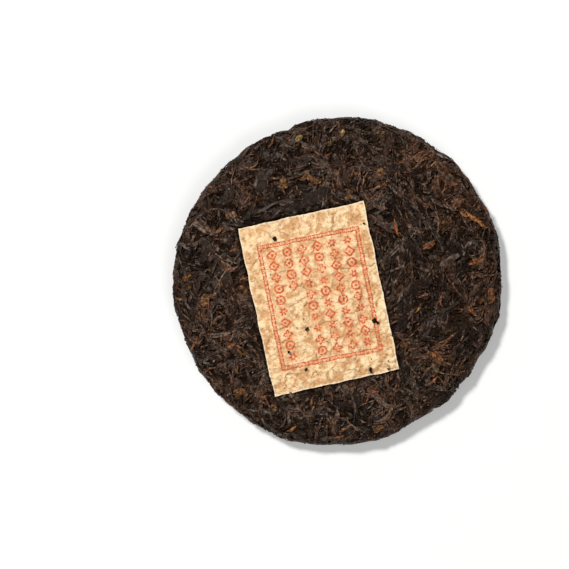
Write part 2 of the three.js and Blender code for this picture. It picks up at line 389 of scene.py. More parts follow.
# %% The opened leaf
def leaf_plate(name, curl, pleat, ragged_seed):
    """A plate one unit long: curl bends it, and pleat folds every other row up."""
    deselect_all()
    bpy.ops.mesh.primitive_grid_add(x_subdivisions=4, y_subdivisions=3, size=1)
    plate = bpy.context.object
    plate.name = name
    points = points_of(plate)
    points[:, 2] += pleat * (np.round(points[:, 1] * 3 + 0.5) % 2)
    set_points(plate, points)
    edit(plate)
    bpy.ops.transform.vertex_random(offset=0.05, seed=ragged_seed)
    leave_edit()
    points = points_of(plate)
    outline = 0.45 + 0.55 * np.cos(np.clip(points[:, 0], -0.5, 0.5) * math.pi * 0.9)
    points[:, 1] *= outline
    points[:, 2] += 0.35 * (0.25 - np.abs(points[:, 1])) + curl * points[:, 0] ** 2
    set_points(plate, points)
    solidify = plate.modifiers.new("thickness", "SOLIDIFY")
    solidify.thickness = 0.12
    solidify.offset = 0
    bpy.ops.object.modifier_apply(modifier=solidify.name)
    edit(plate)
    bpy.ops.mesh.normals_make_consistent(inside=False)
    bpy.ops.mesh.quads_convert_to_tris()
    leave_edit()
    return plate


flat_plate = leaf_plate("flat_plate", 0.3, 0.0, 4)
cupped_plate = leaf_plate("cupped_plate", -0.5, 0.1, 9)
pleated_plate = leaf_plate("pleated_plate", 0.2, 0.3, 6)
print("an opened leaf has", len(flat_plate.data.polygons), "faces")

# %% [markdown]
# Crumbs are what breaks off in the heap. One is the smallest ball of triangles, with
# its corners pushed about.

# %% The crumb
def broken_crumb(name, seed):
    deselect_all()
    bpy.ops.mesh.primitive_ico_sphere_add(subdivisions=1, radius=0.5)
    crumb = bpy.context.object
    crumb.name = name
    edit(crumb)
    bpy.ops.transform.vertex_random(offset=0.22, seed=seed)
    leave_edit()
    return crumb


sharp_crumb = broken_crumb("sharp_crumb", 3)
blunt_crumb = broken_crumb("blunt_crumb", 8)

# %% [markdown]
# ## Copying leaves over the skin
# Particles or instances would be the usual way, but they can't bend each leaf to the skin. Here each copy is
# bent by the map. For every spot there is a place on the skin, a heading, a bend, a size and a tone, each in
# an array, and all copies of a kind become one mesh in one go. The tone and the warmth go along as
# attributes, so that each leaf has its own colour, and a UV map in millimetres runs along the leaf. The tone
# attribute also carries painted shade. A leaf is darker the lower it lies among the others, so it is also
# darker near the rim, where the leaves are pressed lower. It is darker beside the paper's edge as well, as a
# painted shadow of the paper.

# %% The copying
UNDER_PAPER_DROP = 1.25
UNDER_PAPER_SLOPE = 0.8
# How far the painted shadow beside the paper's edge reaches
PAPER_EDGE_SHADOW_WIDTH = 0.55
# The next two numbers paint shade in the gaps: the lift at which a leaf is darkest, and the share of its
# tone that is left there
GAP_LIFT = -0.35
SHADED_GAP_TONE = 0.1
WIGGLE_TURNS = 8.0
WAIST_TURNS = 11.0
DIVE_TURNS = 9.0
DIVE = 0.22
RIM_DROP = 0.35
RIM_BAND = 7
RIM_FADE = 4


def master_arrays(master, twist):
    """A master's vertices, triangles, and UVs that turn with its twist."""
    points = points_of(master)
    corner_points = np.empty(len(master.data.loops), int)
    master.data.loops.foreach_get("vertex_index", corner_points)
    triangles = corner_points.reshape(-1, 3)
    turn = np.arctan2(points[:, 2], points[:, 1]) - twist * (points[:, 0] + 0.5)
    around = turn / (2 * math.pi) % 1
    uvs = np.stack([points[triangles][..., 0] + 0.5, around[triangles]], axis=-1)
    wrapped = uvs[..., 1].max(axis=1) - uvs[..., 1].min(axis=1) > 0.5
    low = wrapped[:, None] & (uvs[..., 1] < 0.5)
    uvs[..., 1] += low
    return points, triangles, uvs


def bent_copies(points, spots):
    """The vertices of every copy, a copy to a row, in millimetres, and their tones with painted shade."""
    share = points[None, :, 0]
    column = {key: value[:, None] for key, value in spots.items()}
    forward = share * column["length"]
    wander = column["wiggle"] * np.sin(WIGGLE_TURNS * share + column["phase"])
    pinch = 0.5 + 0.5 * np.sin(WAIST_TURNS * share + 2 * column["phase"])
    narrowed = 1 - column["waist"] * pinch
    aside = points[None, :, 1] * column["width"] * narrowed + wander
    direction = column["heading"] + column["bend"] * share
    across = column["across"] + forward * np.cos(direction) - aside * np.sin(direction)
    up = column["up"] + forward * np.sin(direction) + aside * np.cos(direction)
    dive = DIVE * np.sin(DIVE_TURNS * share + 3 * column["phase"])
    lift = column["lift"] + points[None, :, 2] * column["height"] + share * column["tilt"] + dive
    under = np.broadcast_to(column["under"] > 0.5, across.shape)
    inside = np.where(under, UNDERSIDE_REACH, RIM_ALONG) - np.hypot(across, up)
    near_rim = np.clip((RIM_BAND - inside) / RIM_FADE, 0, 1)
    ceiling = FLUSH_LIFT + column["stands_out"] - RIM_DROP * near_rim
    lift = pressed_under(ceiling, lift)
    places = on_skin(across, up, lift, under)
    depth = depth_in_ticket(places[..., 0], places[..., 1])
    covered = np.clip((depth + UNDER_PAPER_SLOPE) / UNDER_PAPER_SLOPE, 0, 1) * (~under)
    covered = covered * (1 - column["on_paper"])
    places[..., 2] -= UNDER_PAPER_DROP * covered * covered * (3 - 2 * covered)
    # Painted shade: a leaf's tone falls the lower it lies, down to the darkest in the gaps
    unshaded_share = np.clip((lift - GAP_LIFT) / (FLUSH_LIFT - GAP_LIFT), 0, 1) ** 2
    # Painted shadow: leaves beside the paper's edge are darker
    paper_edge_shadow = np.exp(-((depth / PAPER_EDGE_SHADOW_WIDTH) ** 2)) * (~under) * (1 - column["on_paper"])
    return places, column["tone"] * (SHADED_GAP_TONE + (1 - SHADED_GAP_TONE) * unshaded_share) * (1 - paper_edge_shadow)


def new_mesh_piece(name, points, triangles, corner_uvs, values):
    """A mesh object from arrays, with a UV map and a value for each attribute."""
    mesh = bpy.data.meshes.new(name)
    mesh.vertices.add(len(points))
    mesh.vertices.foreach_set("co", (points * MM).ravel())
    mesh.loops.add(triangles.size)
    mesh.loops.foreach_set("vertex_index", triangles.ravel())
    mesh.polygons.add(len(triangles))
    mesh.polygons.foreach_set("loop_start", np.arange(0, triangles.size, 3))
    mesh.update(calc_edges=True)
    mesh.uv_layers.new(name="leaf").data.foreach_set("uv", corner_uvs.ravel())
    for key, value in values.items():
        mesh.attributes.new(key, "FLOAT", "POINT").data.foreach_set("value", value)
    mesh.validate()
    piece = bpy.data.objects.new(name, mesh)
    bpy.context.scene.collection.objects.link(piece)
    return piece


def scatter(name, masters, spots, node):
    """One piece holding a bent copy of a master at every spot, the masters in turn."""
    all_points = []
    all_triangles = []
    all_uvs = []
    values = {"tone": [], "warmth": []}
    first = 0
    for turn, (master, twist) in enumerate(masters):
        mine = {key: value[turn :: len(masters)] for key, value in spots.items()}
        points, triangles, uvs = master_arrays(master, twist)
        copies, tones = bent_copies(points, mine)
        count = len(copies)
        starts = first + np.arange(count) * len(points)
        all_points.append(copies.reshape(-1, 3))
        all_triangles.append((triangles[None] + starts[:, None, None]).reshape(-1, 3))
        size = np.stack([mine["length"], 2.5 * mine["width"]], axis=-1)
        offset = np.stack([mine["phase"] * 37, mine["phase"] * 11], axis=-1)
        all_uvs.append((uvs[None] * size[:, None, None] + offset[:, None, None]).reshape(-1, 2))
        values["tone"].append(tones.ravel())
        values["warmth"].append(np.repeat(mine["warmth"], len(points)))
        first += count * len(points)
    joined = {key: np.concatenate(value) for key, value in values.items()}
    piece = new_mesh_piece(
        name, np.vstack(all_points), np.vstack(all_triangles), np.vstack(all_uvs), joined
    )
    deselect_all()
    piece.select_set(True)
    bpy.context.view_layer.objects.active = piece
    bpy.ops.object.shade_smooth_by_angle(angle=math.radians(50))
    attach(piece, "root")
    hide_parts(node)
    print(name, "has", len(spots["length"]), "copies and", len(piece.data.polygons), "triangles")
    return piece


# %% [markdown]
# ## Where the leaves lie
# In a real cake the leaves were pushed about by the cloth, so they lie in swirls on
# the face and along the rim round the side. Spots are spread in a sunflower's spiral,
# which gives each the same area, then shaken a little. A smooth field gives the
# heading, and each leaf strays from it.

# %% Spots
GOLDEN_ANGLE = math.pi * (3 - math.sqrt(5))
SWIRL_TURN = 2.2
RIM_TURN_BAND = 9
RIM_TURN_FADE = 8
RIM_TURN_SHARE = 0.6
SPOT_SHAKE = 0.9
HIDDEN_DEPTH = 2.5
swirl = wave_field(seed=5, wavelength=34.0)
patches = wave_field(seed=6, wavelength=16.0)


def heading_at(across, up, under):
    """The heading of the leaves there, in the map's own directions."""
    places = on_skin(across, up, 0.0, under)
    turn = np.arctan2(up, across)
    reach = np.hypot(across, up)
    edge = np.where(under, UNDERSIDE_REACH, RIM_ALONG)
    rim = np.clip((reach - edge + RIM_TURN_BAND) / RIM_TURN_FADE, 0, 1) * RIM_TURN_SHARE
    field = SWIRL_TURN * swirl(places[..., 0], places[..., 1], places[..., 2])
    mixed = (1 - rim) * np.exp(2j * field) + rim * np.exp(2j * (turn + math.pi / 2))
    return np.angle(mixed) / 2


# Where the photograph's leaves are paler or warmer than the rest, or darker and cooler, and where the leaves
# are painted darker at the upper left and paler along the bottom, as painted shade and painted light against
# the key light's fall over the dome: the pixel's column and row, the reach in millimetres, the tone and the
# warmth
TONE_PLACES = (
    (358, 196, 9, 0.2, 0.3),
    (440, 175, 14, 0.05, 0.15),
    (470, 225, 9, 0.0, 0.2),
    (228, 285, 14, 0.0, 0.1),
    (225, 350, 9, 0.02, 0.2),
    (445, 350, 11, 0.0, 0.2),
    (495, 275, 6, 0.0, 0.3),
    (335, 165, 7, 0.0, 0.1),
    (425, 265, 14, -0.12, -0.2),
    (480, 345, 9, -0.15, -0.1),
    (262, 185, 14, -0.2, -0.05),
    (222, 215, 14, -0.18, 0.0),
    (290, 150, 9, -0.08, 0.0),
    (318, 195, 9, -0.22, -0.1),
    (345, 140, 10, -0.1, 0.0),
    (260, 400, 11, 0.07, 0.0),
    (330, 420, 14, 0.12, 0.0),
    (400, 405, 14, 0.1, 0.0),
)


def tone_places(x, y):
    """How much paler and warmer the leaves are there than elsewhere."""
    tone = np.zeros_like(x)
    warmth = np.zeros_like(x)
    for column, row, reach, paler, warmer in TONE_PLACES:
        east, north = plan_of_pixel(column, row)
        near = np.exp(-((x - east) ** 2 + (y - north) ** 2) / reach**2)
        tone += paler * near
        warmth += warmer * near
    return tone, warmth


def drawn(draw, count, low, high, skew=1.0):
    """Numbers between low and high, with more small ones where skew is over 1."""
    return low + (high - low) * draw.random(count) ** skew


def sunflower(draw, count, reach):
    """Evenly spread distances from the middle, shaken by about one spacing."""
    index = np.arange(count) + 0.5
    radius = reach * np.sqrt(index / count)
    turn = index * GOLDEN_ANGLE
    shake = SPOT_SHAKE * reach / math.sqrt(count)
    across = radius * np.cos(turn) + draw.normal(0, shake, count)
    up = radius * np.sin(turn) + draw.normal(0, shake, count)
    return across, up


def leaf_spots(seed, on_face, below, length, width, height, lift, stray, tone, warmth, skew=1.6):
    """Spots for one kind: ranges give its sizes, lift and tones."""
    draw = np.random.default_rng(seed)
    face = sunflower(draw, on_face, RIM_ALONG)
    dimple = sunflower(draw, below, UNDERSIDE_REACH)
    across = np.concatenate([face[0], dimple[0]])
    up = np.concatenate([face[1], dimple[1]])
    under = np.concatenate([np.zeros(on_face), np.ones(below)])
    count = on_face + below
    places = on_skin(across, up, 0.0, under > 0.5)
    hidden = (under < 0.5) & (depth_in_ticket(places[:, 0], places[:, 1]) > HIDDEN_DEPTH)
    patch = patches(places[:, 0], places[:, 1], places[:, 2])
    paler, warmer = tone_places(places[:, 0], places[:, 1])
    spots = dict(
        across=across,
        up=up,
        under=under,
        heading=heading_at(across, up, under > 0.5) + draw.normal(0, stray, count),
        bend=draw.normal(0, 0.36, count),
        wiggle=draw.normal(0, 0.16, count),
        waist=draw.uniform(0, 0.35, count),
        phase=draw.uniform(0, 2 * math.pi, count),
        length=drawn(draw, count, *length, skew),
        width=drawn(draw, count, *width, 1.3),
        height=drawn(draw, count, *height),
        lift=drawn(draw, count, *lift),
        tilt=draw.normal(0, 0.14, count),
        tone=np.clip(drawn(draw, count, *tone, 1.65) + 0.06 * patch + paler, 0, 1),
        warmth=np.clip(drawn(draw, count, *warmth, 1.7) + 0.24 * patch + warmer, 0, 1),
        stands_out=drawn(draw, count, 0, 0.35, 3.0),
        on_paper=np.zeros(count),
    )
    order = draw.permutation(count)
    order = order[~hidden[order]]
    return {key: value[order] for key, value in spots.items()}


def marked_spot(column, row, angle, length, width, tone, warmth, lift, bend=0.3, on_paper=0.0):
    """One leaf that the photograph shows at a pixel, at an angle from the right."""
    across, up = skin_of_plan(*plan_of_pixel(column, row))
    values = dict(
        across=across,
        up=up,
        under=0.0,
        heading=math.radians(angle),
        bend=bend,
        wiggle=0.08,
        waist=0.15,
        phase=column * 0.7 + row,
        length=length,
        width=width,
        height=0.55,
        lift=lift,
        stands_out=0.25 + 0.6 * on_paper,
        tilt=0.0,
        tone=tone,
        warmth=warmth,
        on_paper=on_paper,
    )
    return {key: np.array([value]) for key, value in values.items()}


def together(*groups):
    """Several groups of spots as one."""
    return {key: np.concatenate([group[key] for group in groups]) for key in groups[0]}


def marked(rows, lift, on_paper=0.0):
    """Spots for leaves in rows: column, row, angle, length, width, tone and warmth.

    A row that goes on has a lift of its own, and after it may have a bend.
    """
    spots = [marked_spot(*row[:7], *(row[7:] or (lift,)), on_paper=on_paper) for row in rows]
    return together(*spots)


def leaf_kind(name, masters, marks=(), mark_lift=0.4, **ranges):
    """A piece of the cake: the leaves that are marked, and the scattered ones."""
    spots = leaf_spots(**ranges)
    if marks:
        spots = together(marked(marks, mark_lift), spots)
    return scatter(name, masters, spots, "tea_cake")


# %% [markdown]
# ## The dark core
# Between the leaves one looks into the packed, nearly black inside of the cake. A
# vertex is pulled along the half section and spun round, which gives a closed form
# with rings and spokes. The outline's waves, the swells and the ticket's bed are then
# moved into its vertices, and a Displace modifier makes it crumbly.

# %% Spin the core
CORE_SINK = 0.5
CORE_SPOKES = 220
CORE_SECTION_STEP = 1.1
CORE_BED = 0.5
CORE_FLOOR = 0.02


def spun_section():
    """The core's surface of rings and spokes, as a vertex pulled out and spun."""
    along = np.linspace(0, SECTION_LENGTH, int(SECTION_LENGTH / CORE_SECTION_STEP))
    radius = np.interp(along, SKIN_ALONG, SKIN_RADIUS)
    height = np.interp(along, SKIN_ALONG, SKIN_HEIGHT)
    radius[0] = 0
    radius[-1] = 0
    deselect_all()
    bpy.ops.mesh.primitive_plane_add(size=MM, location=(0, 0, height[0] * MM))
    core = bpy.context.object
    apply_place(core)
    edit(core)
    bpy.ops.mesh.merge(type="CENTER")
    for step in range(1, len(along)):
        move = ((radius[step] - radius[step - 1]) * MM, 0, (height[step] - height[step - 1]) * MM)
        bpy.ops.mesh.extrude_region_move(TRANSFORM_OT_translate={"value": move})
    bpy.ops.mesh.select_all(action="SELECT")
    bpy.ops.mesh.spin(steps=CORE_SPOKES, angle=2 * math.pi, center=(0, 0, 0), axis=(0, 0, 1))
    bpy.ops.mesh.select_all(action="SELECT")
    bpy.ops.mesh.remove_doubles(threshold=0.02 * MM)
    bpy.ops.mesh.normals_make_consistent(inside=False)
    leave_edit()
    return core


def shape_core(core):
    """Gives the spun form the cake's outline and swells, and presses the bed in."""
    points = points_of(core) / MM
    turn = np.arctan2(points[:, 1], points[:, 0])
    points[:, :2] *= outline_share(turn)[:, None]
    normals = np.empty(len(points) * 3)
    core.data.vertices.foreach_get("normal", normals)
    out = swell(points[:, 0], points[:, 1], points[:, 2]) - CORE_SINK
    points += normals.reshape(-1, 3) * out[:, None]
    on_face = points[:, 2] > WIDEST_HEIGHT
    bed = np.clip(depth_in_ticket(points[:, 0], points[:, 1]) + 1, 0, 1) * on_face
    points[:, 2] -= CORE_BED * bed
    points[:, 2] = pressed_flat(points[:, 2]) + CORE_FLOOR
    set_points(core, points * MM)


core = spun_section()
core.name = "pressed_core"
core.data.name = "pressed_core"
shape_core(core)
crumbly = bpy.data.textures.new("crumbly", "CLOUDS")
crumbly.noise_scale = 1.6 * MM
crumbly.noise_depth = 3
displace = core.modifiers.new("crumbly", "DISPLACE")
displace.texture = crumbly
displace.strength = 0.35 * MM
displace.mid_level = 0.7
bpy.ops.object.modifier_apply(modifier=displace.name)
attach(core, "root")
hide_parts("tea_cake")
print("the core has", len(core.data.polygons), "faces")

# %% [markdown]
# ## Rolled leaves
# Most of the skin is dark strands, a millimetre or so wide and pressed together. Long
# ones cross the others, and short ones fill the spaces between them.

# %% Long and short rolled leaves
TIGHT = (tight_leaf, math.radians(400))
LOOSE = (loose_leaf, math.radians(150))
FOLDED = (folded_leaf, math.radians(-90))
LONG_MARKS = (
    (277, 203, 18, 17.0, 1.5, 0.06, 0.0, 0.6, -0.3),
    (448, 179, -28, 9.0, 1.4, 0.25, 0.0),
    (430, 328, 63, 10.0, 1.5, 0.12, 0.1, 0.55),
    (449, 308, 28, 9.5, 1.5, 0.12, 0.1, 0.55),
    (426, 330, 70, 8.0, 1.2, 0.1, 0.1),
)
long_leaves = leaf_kind(
    "long_rolled_leaves", [TIGHT], LONG_MARKS,
    seed=11, on_face=1000, below=800, length=(4, 13), width=(0.65, 1.6), height=(0.6, 1.2),
    lift=(-0.55, 0.3), stray=0.4, tone=(0, 1), warmth=(0, 1),
)
short_leaves = leaf_kind(
    "short_rolled_leaves", [LOOSE, FOLDED],
    seed=12, on_face=1950, below=1300, length=(1.8, 6), width=(0.7, 2.0), height=(0.6, 1.1),
    lift=(-0.65, 0.22), stray=0.6, tone=(0, 1), warmth=(0, 1),
)

# %% [markdown]
# ## Opened leaves
# Broad dark plates lie between the strands, a few millimetres across, and give the
# smooth calm places of the face. Narrow ones that stayed folded lie as strips.

# %% Leaf plates
PLATES = [(flat_plate, 0.0), (cupped_plate, 0.0), (pleated_plate, 0.0)]
PLATE_MARKS = (
    (318, 196, 15, 9.0, 5.0, 0.08, 0.0, 0.35),
    (296, 206, 20, 8.0, 4.0, 0.06, 0.0, 0.35),
    (262, 180, 100, 8.0, 4.0, 0.1, 0.1),
    (228, 196, 60, 7.0, 4.0, 0.1, 0.2),
    (206, 250, 80, 7.0, 3.6, 0.1, 0.1),
    (408, 252, 60, 8.0, 4.0, 0.08, 0.0),
    (420, 285, 20, 8.0, 4.4, 0.08, 0.1),
    (462, 330, 40, 7.0, 4.0, 0.08, 0.1),
    (402, 322, 80, 7.0, 3.6, 0.08, 0.0),
    (392, 170, -10, 7.0, 3.6, 0.15, 0.2),
    (352, 405, 10, 7.0, 3.6, 0.15, 0.2),
)
plates = leaf_kind(
    "opened_leaves", PLATES, PLATE_MARKS, mark_lift=0.3,
    seed=13, on_face=560, below=480, length=(2.5, 8), width=(1.8, 4.2), height=(0.7, 1.3),
    lift=(-0.6, 0.15), stray=0.5, tone=(0, 0.9), warmth=(0, 0.7),
)
strips = leaf_kind(
    "pleated_strips", [(pleated_plate, 0.0), (cupped_plate, 0.0)],
    seed=18, on_face=620, below=500, length=(4, 10), width=(1.2, 2.7), height=(1.0, 1.7),
    lift=(-0.6, 0.15), stray=0.5, tone=(0, 1), warmth=(0, 0.8),
)

# %% [markdown]
# ## Brown leaves
# Some strands fermented less and stay brown to reddish brown. The ones that catch the
# eye in the photograph are put where it shows them.

# %% Brown strands
BROWN_MARKS = (
    (272, 142, 68, 4.5, 0.8, 0.75, 0.95),
    (254, 166, 32, 7.5, 0.8, 0.8, 0.6, 0.4, 1.2),
    (246, 201, 60, 7.0, 0.8, 0.5, 0.9),
    (231, 269, 10, 5.0, 1.6, 0.6, 1.0),
    (218, 291, 60, 10.0, 0.9, 0.6, 0.6, 0.4, 1.4),
    (194, 345, 58, 6.5, 1.4, 0.8, 0.9),
    (322, 155, -12, 7.0, 0.7, 0.8, 0.9, 0.4, 0.8),
    (429, 246, 40, 5.0, 1.2, 0.7, 1.0),
    (476, 263, 20, 6.0, 1.3, 0.6, 1.0),
    (490, 296, -75, 4.5, 1.5, 0.7, 1.0),
    (432, 381, 40, 4.5, 1.0, 0.8, 0.9),
    (448, 339, 35, 7.5, 1.0, 0.9, 0.8),
    (445, 343, 40, 6.0, 0.8, 0.7, 0.9),
    (424, 296, 20, 4.5, 1.0, 0.8, 0.6),
    (235, 346, -15, 5.5, 1.1, 0.9, 1.0),
    (434, 164, 45, 5.5, 0.9, 0.9, 0.3),
    (433, 154, 85, 4.0, 0.9, 0.8, 0.4),
    (378, 188, 25, 6.0, 1.3, 0.8, 0.6),
    (345, 428, 30, 5.0, 1.1, 0.7, 0.6),
    (262, 397, 15, 3.5, 1.2, 0.7, 0.9),
    (322, 403, 10, 3.5, 1.2, 0.8, 0.9),
    (337, 437, 15, 5.0, 1.2, 0.9, 1.0),
    (372, 393, 5, 5.0, 1.0, 0.6, 0.9),
    (388, 380, 75, 4.5, 0.5, 0.8, 0.7, 0.4, 0.8),
)
brown_leaves = leaf_kind(
    "brown_leaves", [LOOSE, TIGHT], BROWN_MARKS,
    seed=14, on_face=400, below=300, length=(2, 7.5), width=(0.4, 1.0), height=(0.35, 0.65),
    lift=(-0.4, 0.45), stray=0.7, tone=(0, 0.9), warmth=(0.2, 1),
)

# %% [markdown]
# ## Golden tips
# The buds of the tea bush ferment to orange and gold. They are few, so each is seen.

# %% Buds
GOLD_MARKS = (
    (343, 133, 80, 2.8, 1.8, 1.0, 0.2, 0.7),
    (218, 231, 35, 4.2, 1.2, 0.9, 0.8),
    (395.5, 228, -75, 6.5, 1.3, 0.6, 0.9, 0.6),
    (472, 219, -38, 6.5, 1.8, 0.7, 0.6, 0.6, 0.4),
    (480, 226, -35, 5.0, 1.2, 0.8, 0.7, 0.6, 0.4),
    (418.5, 309, 62, 3.8, 1.1, 0.95, 0.4),
    (471, 312, -52, 4.4, 1.6, 0.8, 1.0),
    (427, 355, 70, 2.6, 1.2, 0.6, 0.9),
    (292, 429, 30, 4.0, 1.4, 0.7, 0.4),
    (231, 346, 20, 3.2, 1.4, 0.4, 0.9),
)
golden_tips = leaf_kind(
    "golden_tips", [(bud, math.radians(60))], GOLD_MARKS,
    seed=15, on_face=42, below=22, length=(2, 5), width=(0.7, 1.4), height=(0.5, 0.7),
    lift=(0.05, 0.4), stray=0.6, tone=(0, 0.9), warmth=(0.2, 1),
)

# %% [markdown]
# ## Brown flakes
# Where a brown leaf was pressed open it shows as a ragged patch, wider than a strand.

# %% Flakes
FLAKE_MARKS = (
    (299, 138, 35, 2.6, 2.2, 1.0, 0.2, 0.6),
    (283, 181, 70, 3.4, 2.0, 0.8, 0.7, 0.35),
    (285, 186, 30, 2.4, 1.6, 0.6, 0.8),
    (306, 175, 50, 3.4, 2.0, 0.6, 0.9),
    (312, 179, -25, 3.8, 2.2, 0.55, 0.95, 0.35),
    (318, 182, 10, 2.6, 1.5, 0.7, 0.8),
    (231, 215, 20, 3.4, 3.0, 0.6, 0.7),
    (447, 223, 25, 3.4, 2.2, 0.45, 0.5, 0.15),
    (436, 358, -50, 4.6, 2.8, 0.65, 0.9, 0.35),
    (477, 262, 5, 3.4, 2.0, 0.7, 1.0, 0.35),
    (429, 246, 20, 4.0, 2.2, 0.6, 1.0),
    (490, 296, -80, 4.8, 2.4, 0.6, 1.0, 0.35),
    (349, 195, 60, 3.6, 2.4, 0.5, 0.8, 0.25),
    (440, 213, 30, 3.0, 1.8, 0.4, 0.8, 0.2),
    (464, 214, -35, 3.4, 2.4, 0.8, 0.75),
    (378, 428, 20, 3.6, 2.4, 0.5, 0.8),
    (240, 392, 10, 4.0, 2.6, 0.5, 0.8),
    (205, 300, 70, 4.0, 2.6, 0.5, 0.9),
    (420, 160, 10, 3.4, 2.0, 0.45, 0.8, 0.2),
)
flakes = leaf_kind(
    "brown_flakes", PLATES, FLAKE_MARKS, mark_lift=0.3,
    seed=20, on_face=170, below=130, length=(1.2, 4), width=(1.0, 2.6), height=(0.6, 1.1),
    lift=(-0.3, 0.3), stray=0.9, tone=(0.1, 0.9), warmth=(0.3, 1),
)

# %% [markdown]
# ## Stalks
# A stalk is thinner and rounder than a leaf, paler, and cut off at both ends.

# %% Stalks
STALK_MARKS = (
    (445, 374, -12, 9.5, 0.55, 0.95, 0.3, 0.5),
    (410, 368, -50, 6.0, 0.6, 0.5, 0.4),
    (212, 322, 75, 6.0, 0.6, 0.9, 0.3),
    (470, 308, 70, 7.0, 0.7, 0.4, 0.5),
)
stalks = leaf_kind(
    "tea_stalks", [(stalk, math.radians(40))], STALK_MARKS,
    seed=16, on_face=60, below=34, length=(4, 13), width=(0.4, 0.8), height=(0.4, 0.6),
    lift=(0.0, 0.4), stray=0.6, tone=(0, 0.9), warmth=(0, 1),
)

# %% [markdown]
# ## Threads
# Veins and torn edges come loose as the tea is turned, and dry as threads half a
# millimetre wide or less. They give the skin its finest lines.

# %% Threads
threads = leaf_kind(
    "leaf_threads", [(thread, math.radians(90))],
    seed=19, on_face=550, below=380, length=(1.5, 6), width=(0.25, 0.5), height=(0.3, 0.5),
    lift=(-0.3, 0.45), stray=0.9, tone=(0, 0.8), warmth=(0, 0.8),
)

# %% [markdown]
# ## Crumbs
# Dust and broken bits fill the last gaps, and a few are pale.

# %% Crumbs on the tea
CRUMBS = [(sharp_crumb, 0.0), (blunt_crumb, 0.0)]
PALE_MARKS = (
    (230, 229, 0, 0.9, 0.8, 1.0, 0.0),
    (402, 287, 0, 0.5, 0.5, 1.0, 0.0),
    (400, 296, 0, 0.6, 0.5, 1.0, 0.0),
    (394, 311, 0, 0.6, 0.5, 1.0, 0.0),
    (449, 305, 0, 0.7, 0.6, 1.0, 0.0),
    (417, 318, 0, 0.6, 0.6, 0.9, 0.1),
    (292, 191, 0, 0.9, 0.8, 0.8, 0.1),
)
crumbs = leaf_kind(
    "leaf_crumbs", CRUMBS, PALE_MARKS, mark_lift=0.5,
    seed=17, on_face=6300, below=4300, length=(0.35, 1.5), width=(0.25, 0.8), height=(0.25, 0.6),
    lift=(-0.5, 0.45), stray=1.5, tone=(0, 0.9), warmth=(0, 0.8), skew=2.0,
)

# %% [markdown]
# ## The paper ticket
# The ticket is one sheet of soft handmade paper, laid on the tea before the press came down, so it shows
# every leaf beneath it. A cloth simulation would need the leaves as colliders and could not be steered.
# Instead a fine grid takes the face's height, each leaf beneath lifts it along a short bent line, and two
# ridged fields crumple it. The creases and stains that the photograph shows become attributes for the
# material, which also paints shade along the creases, and through the stain attribute in the sheet's hollows
# and beside its creases. A Solidify modifier then gives the sheet its thickness.

# %% The sheet
PAPER_COLUMNS = 168
PAPER_ROWS = 225
PAPER_THICKNESS = 0.16
PAPER_REST = -0.33
LEAF_CEILING = 0.4
edge_wander = wave_field(seed=21, wavelength=9.0)
edge_nibble = wave_field(seed=22, wavelength=1.7)
broad_crumple = wave_field(seed=23, wavelength=5.5)
fine_crumple = wave_field(seed=24, wavelength=2.4)
crease_shake = wave_field(seed=25, wavelength=2.0)
# The creases that the photograph shows, each as the pixels of its corners
CREASE_LINES = (
    ((259.5, 256.5), (256, 260), (253, 265)), ((250, 257), (248.5, 259)),
    ((280, 233), (284, 232), (288, 236)), ((314, 240), (314.5, 247), (313, 252)),
    ((332, 214), (335, 213.5), (337, 211)), ((333.5, 215), (333.5, 223)),
    ((352, 215.5), (355, 217.5), (358, 216)), ((330, 257), (334, 259), (342, 257.5)),
    ((341, 268), (345, 269), (350, 268)),
    ((353, 264), (357, 263), (365, 265), (371, 266), (377, 263)),
    ((324, 277), (329, 274.5), (336, 275)), ((278, 289), (283, 286.5), (287, 285.5)),
    ((295, 284), (300, 286), (303, 283)), ((311, 286.5), (315, 285.5), (318, 286.5)),
    ((293, 304), (299, 302.5)), ((304, 306), (308, 303), (318.5, 303)),
    ((281, 329), (287, 326), (290, 323)), ((309, 313), (309.5, 320)),
    ((320, 325), (325, 322), (337, 321)), ((282, 343), (286, 340)), ((317, 352), (316, 360)),
    ((342, 293), (344.5, 301), (335, 303)), ((350, 313.5), (355, 312), (360, 310)),
    ((376, 306), (377, 300.5), (380, 298.5)), ((357.5, 317), (360, 324)),
    ((352, 322), (354, 327)), ((357, 336), (361, 333), (369, 332)),
    ((362, 288), (361, 295), (360, 303)), ((331, 328), (331.5, 334)),
    ((285, 377), (289, 373)), ((284.5, 383), (286, 380)),
    ((290, 372.5), (294, 374), (298, 374.5)), ((311, 378), (315, 372)),
    ((332, 368), (336, 365)), ((348, 370), (352, 369), (356, 370)),
    ((384, 359), (387, 354.5)), ((388, 365), (390, 369)),
)
# Stains, below 0 where the paper is cleaner: column, row, reach and strength
STAIN_PLACES = (
    (285, 236, 1.3, 0.8), (294, 225, 2.0, 0.7), (357, 218, 2.2, 0.6), (367, 250, 2.5, 0.7),
    (362, 292, 1.2, 0.8), (338, 288, 2.5, 0.5), (264, 340, 1.8, 1.0), (365, 235, 2.0, 0.8),
    (250, 300, 4.5, 0.3), (259, 352, 4.5, 0.3), (246, 262, 4.0, 0.25), (308, 337, 2.0, 0.5),
    (386, 340, 2.6, 0.6), (350, 332, 3.2, 0.4), (376, 287, 2.2, 0.5), (338, 378, 1.6, 0.7),
    (303, 376, 3.0, 0.5), (359, 364, 1.5, 0.5), (346, 297, 1.3, -1.0), (342, 308, 1.8, -0.8),
    (299, 305, 1.2, -0.8), (335, 343, 1.4, -1.0), (325, 266, 2.2, -0.5), (306, 265, 2.4, -0.4),
    (381, 306, 1.6, -0.6), (318, 335, 1.8, -0.6), (390, 360, 2.2, -0.5), (353, 371, 1.5, -0.6),
    (343, 221, 1.5, -0.5),
)
CREASE_WIDTH = 0.22
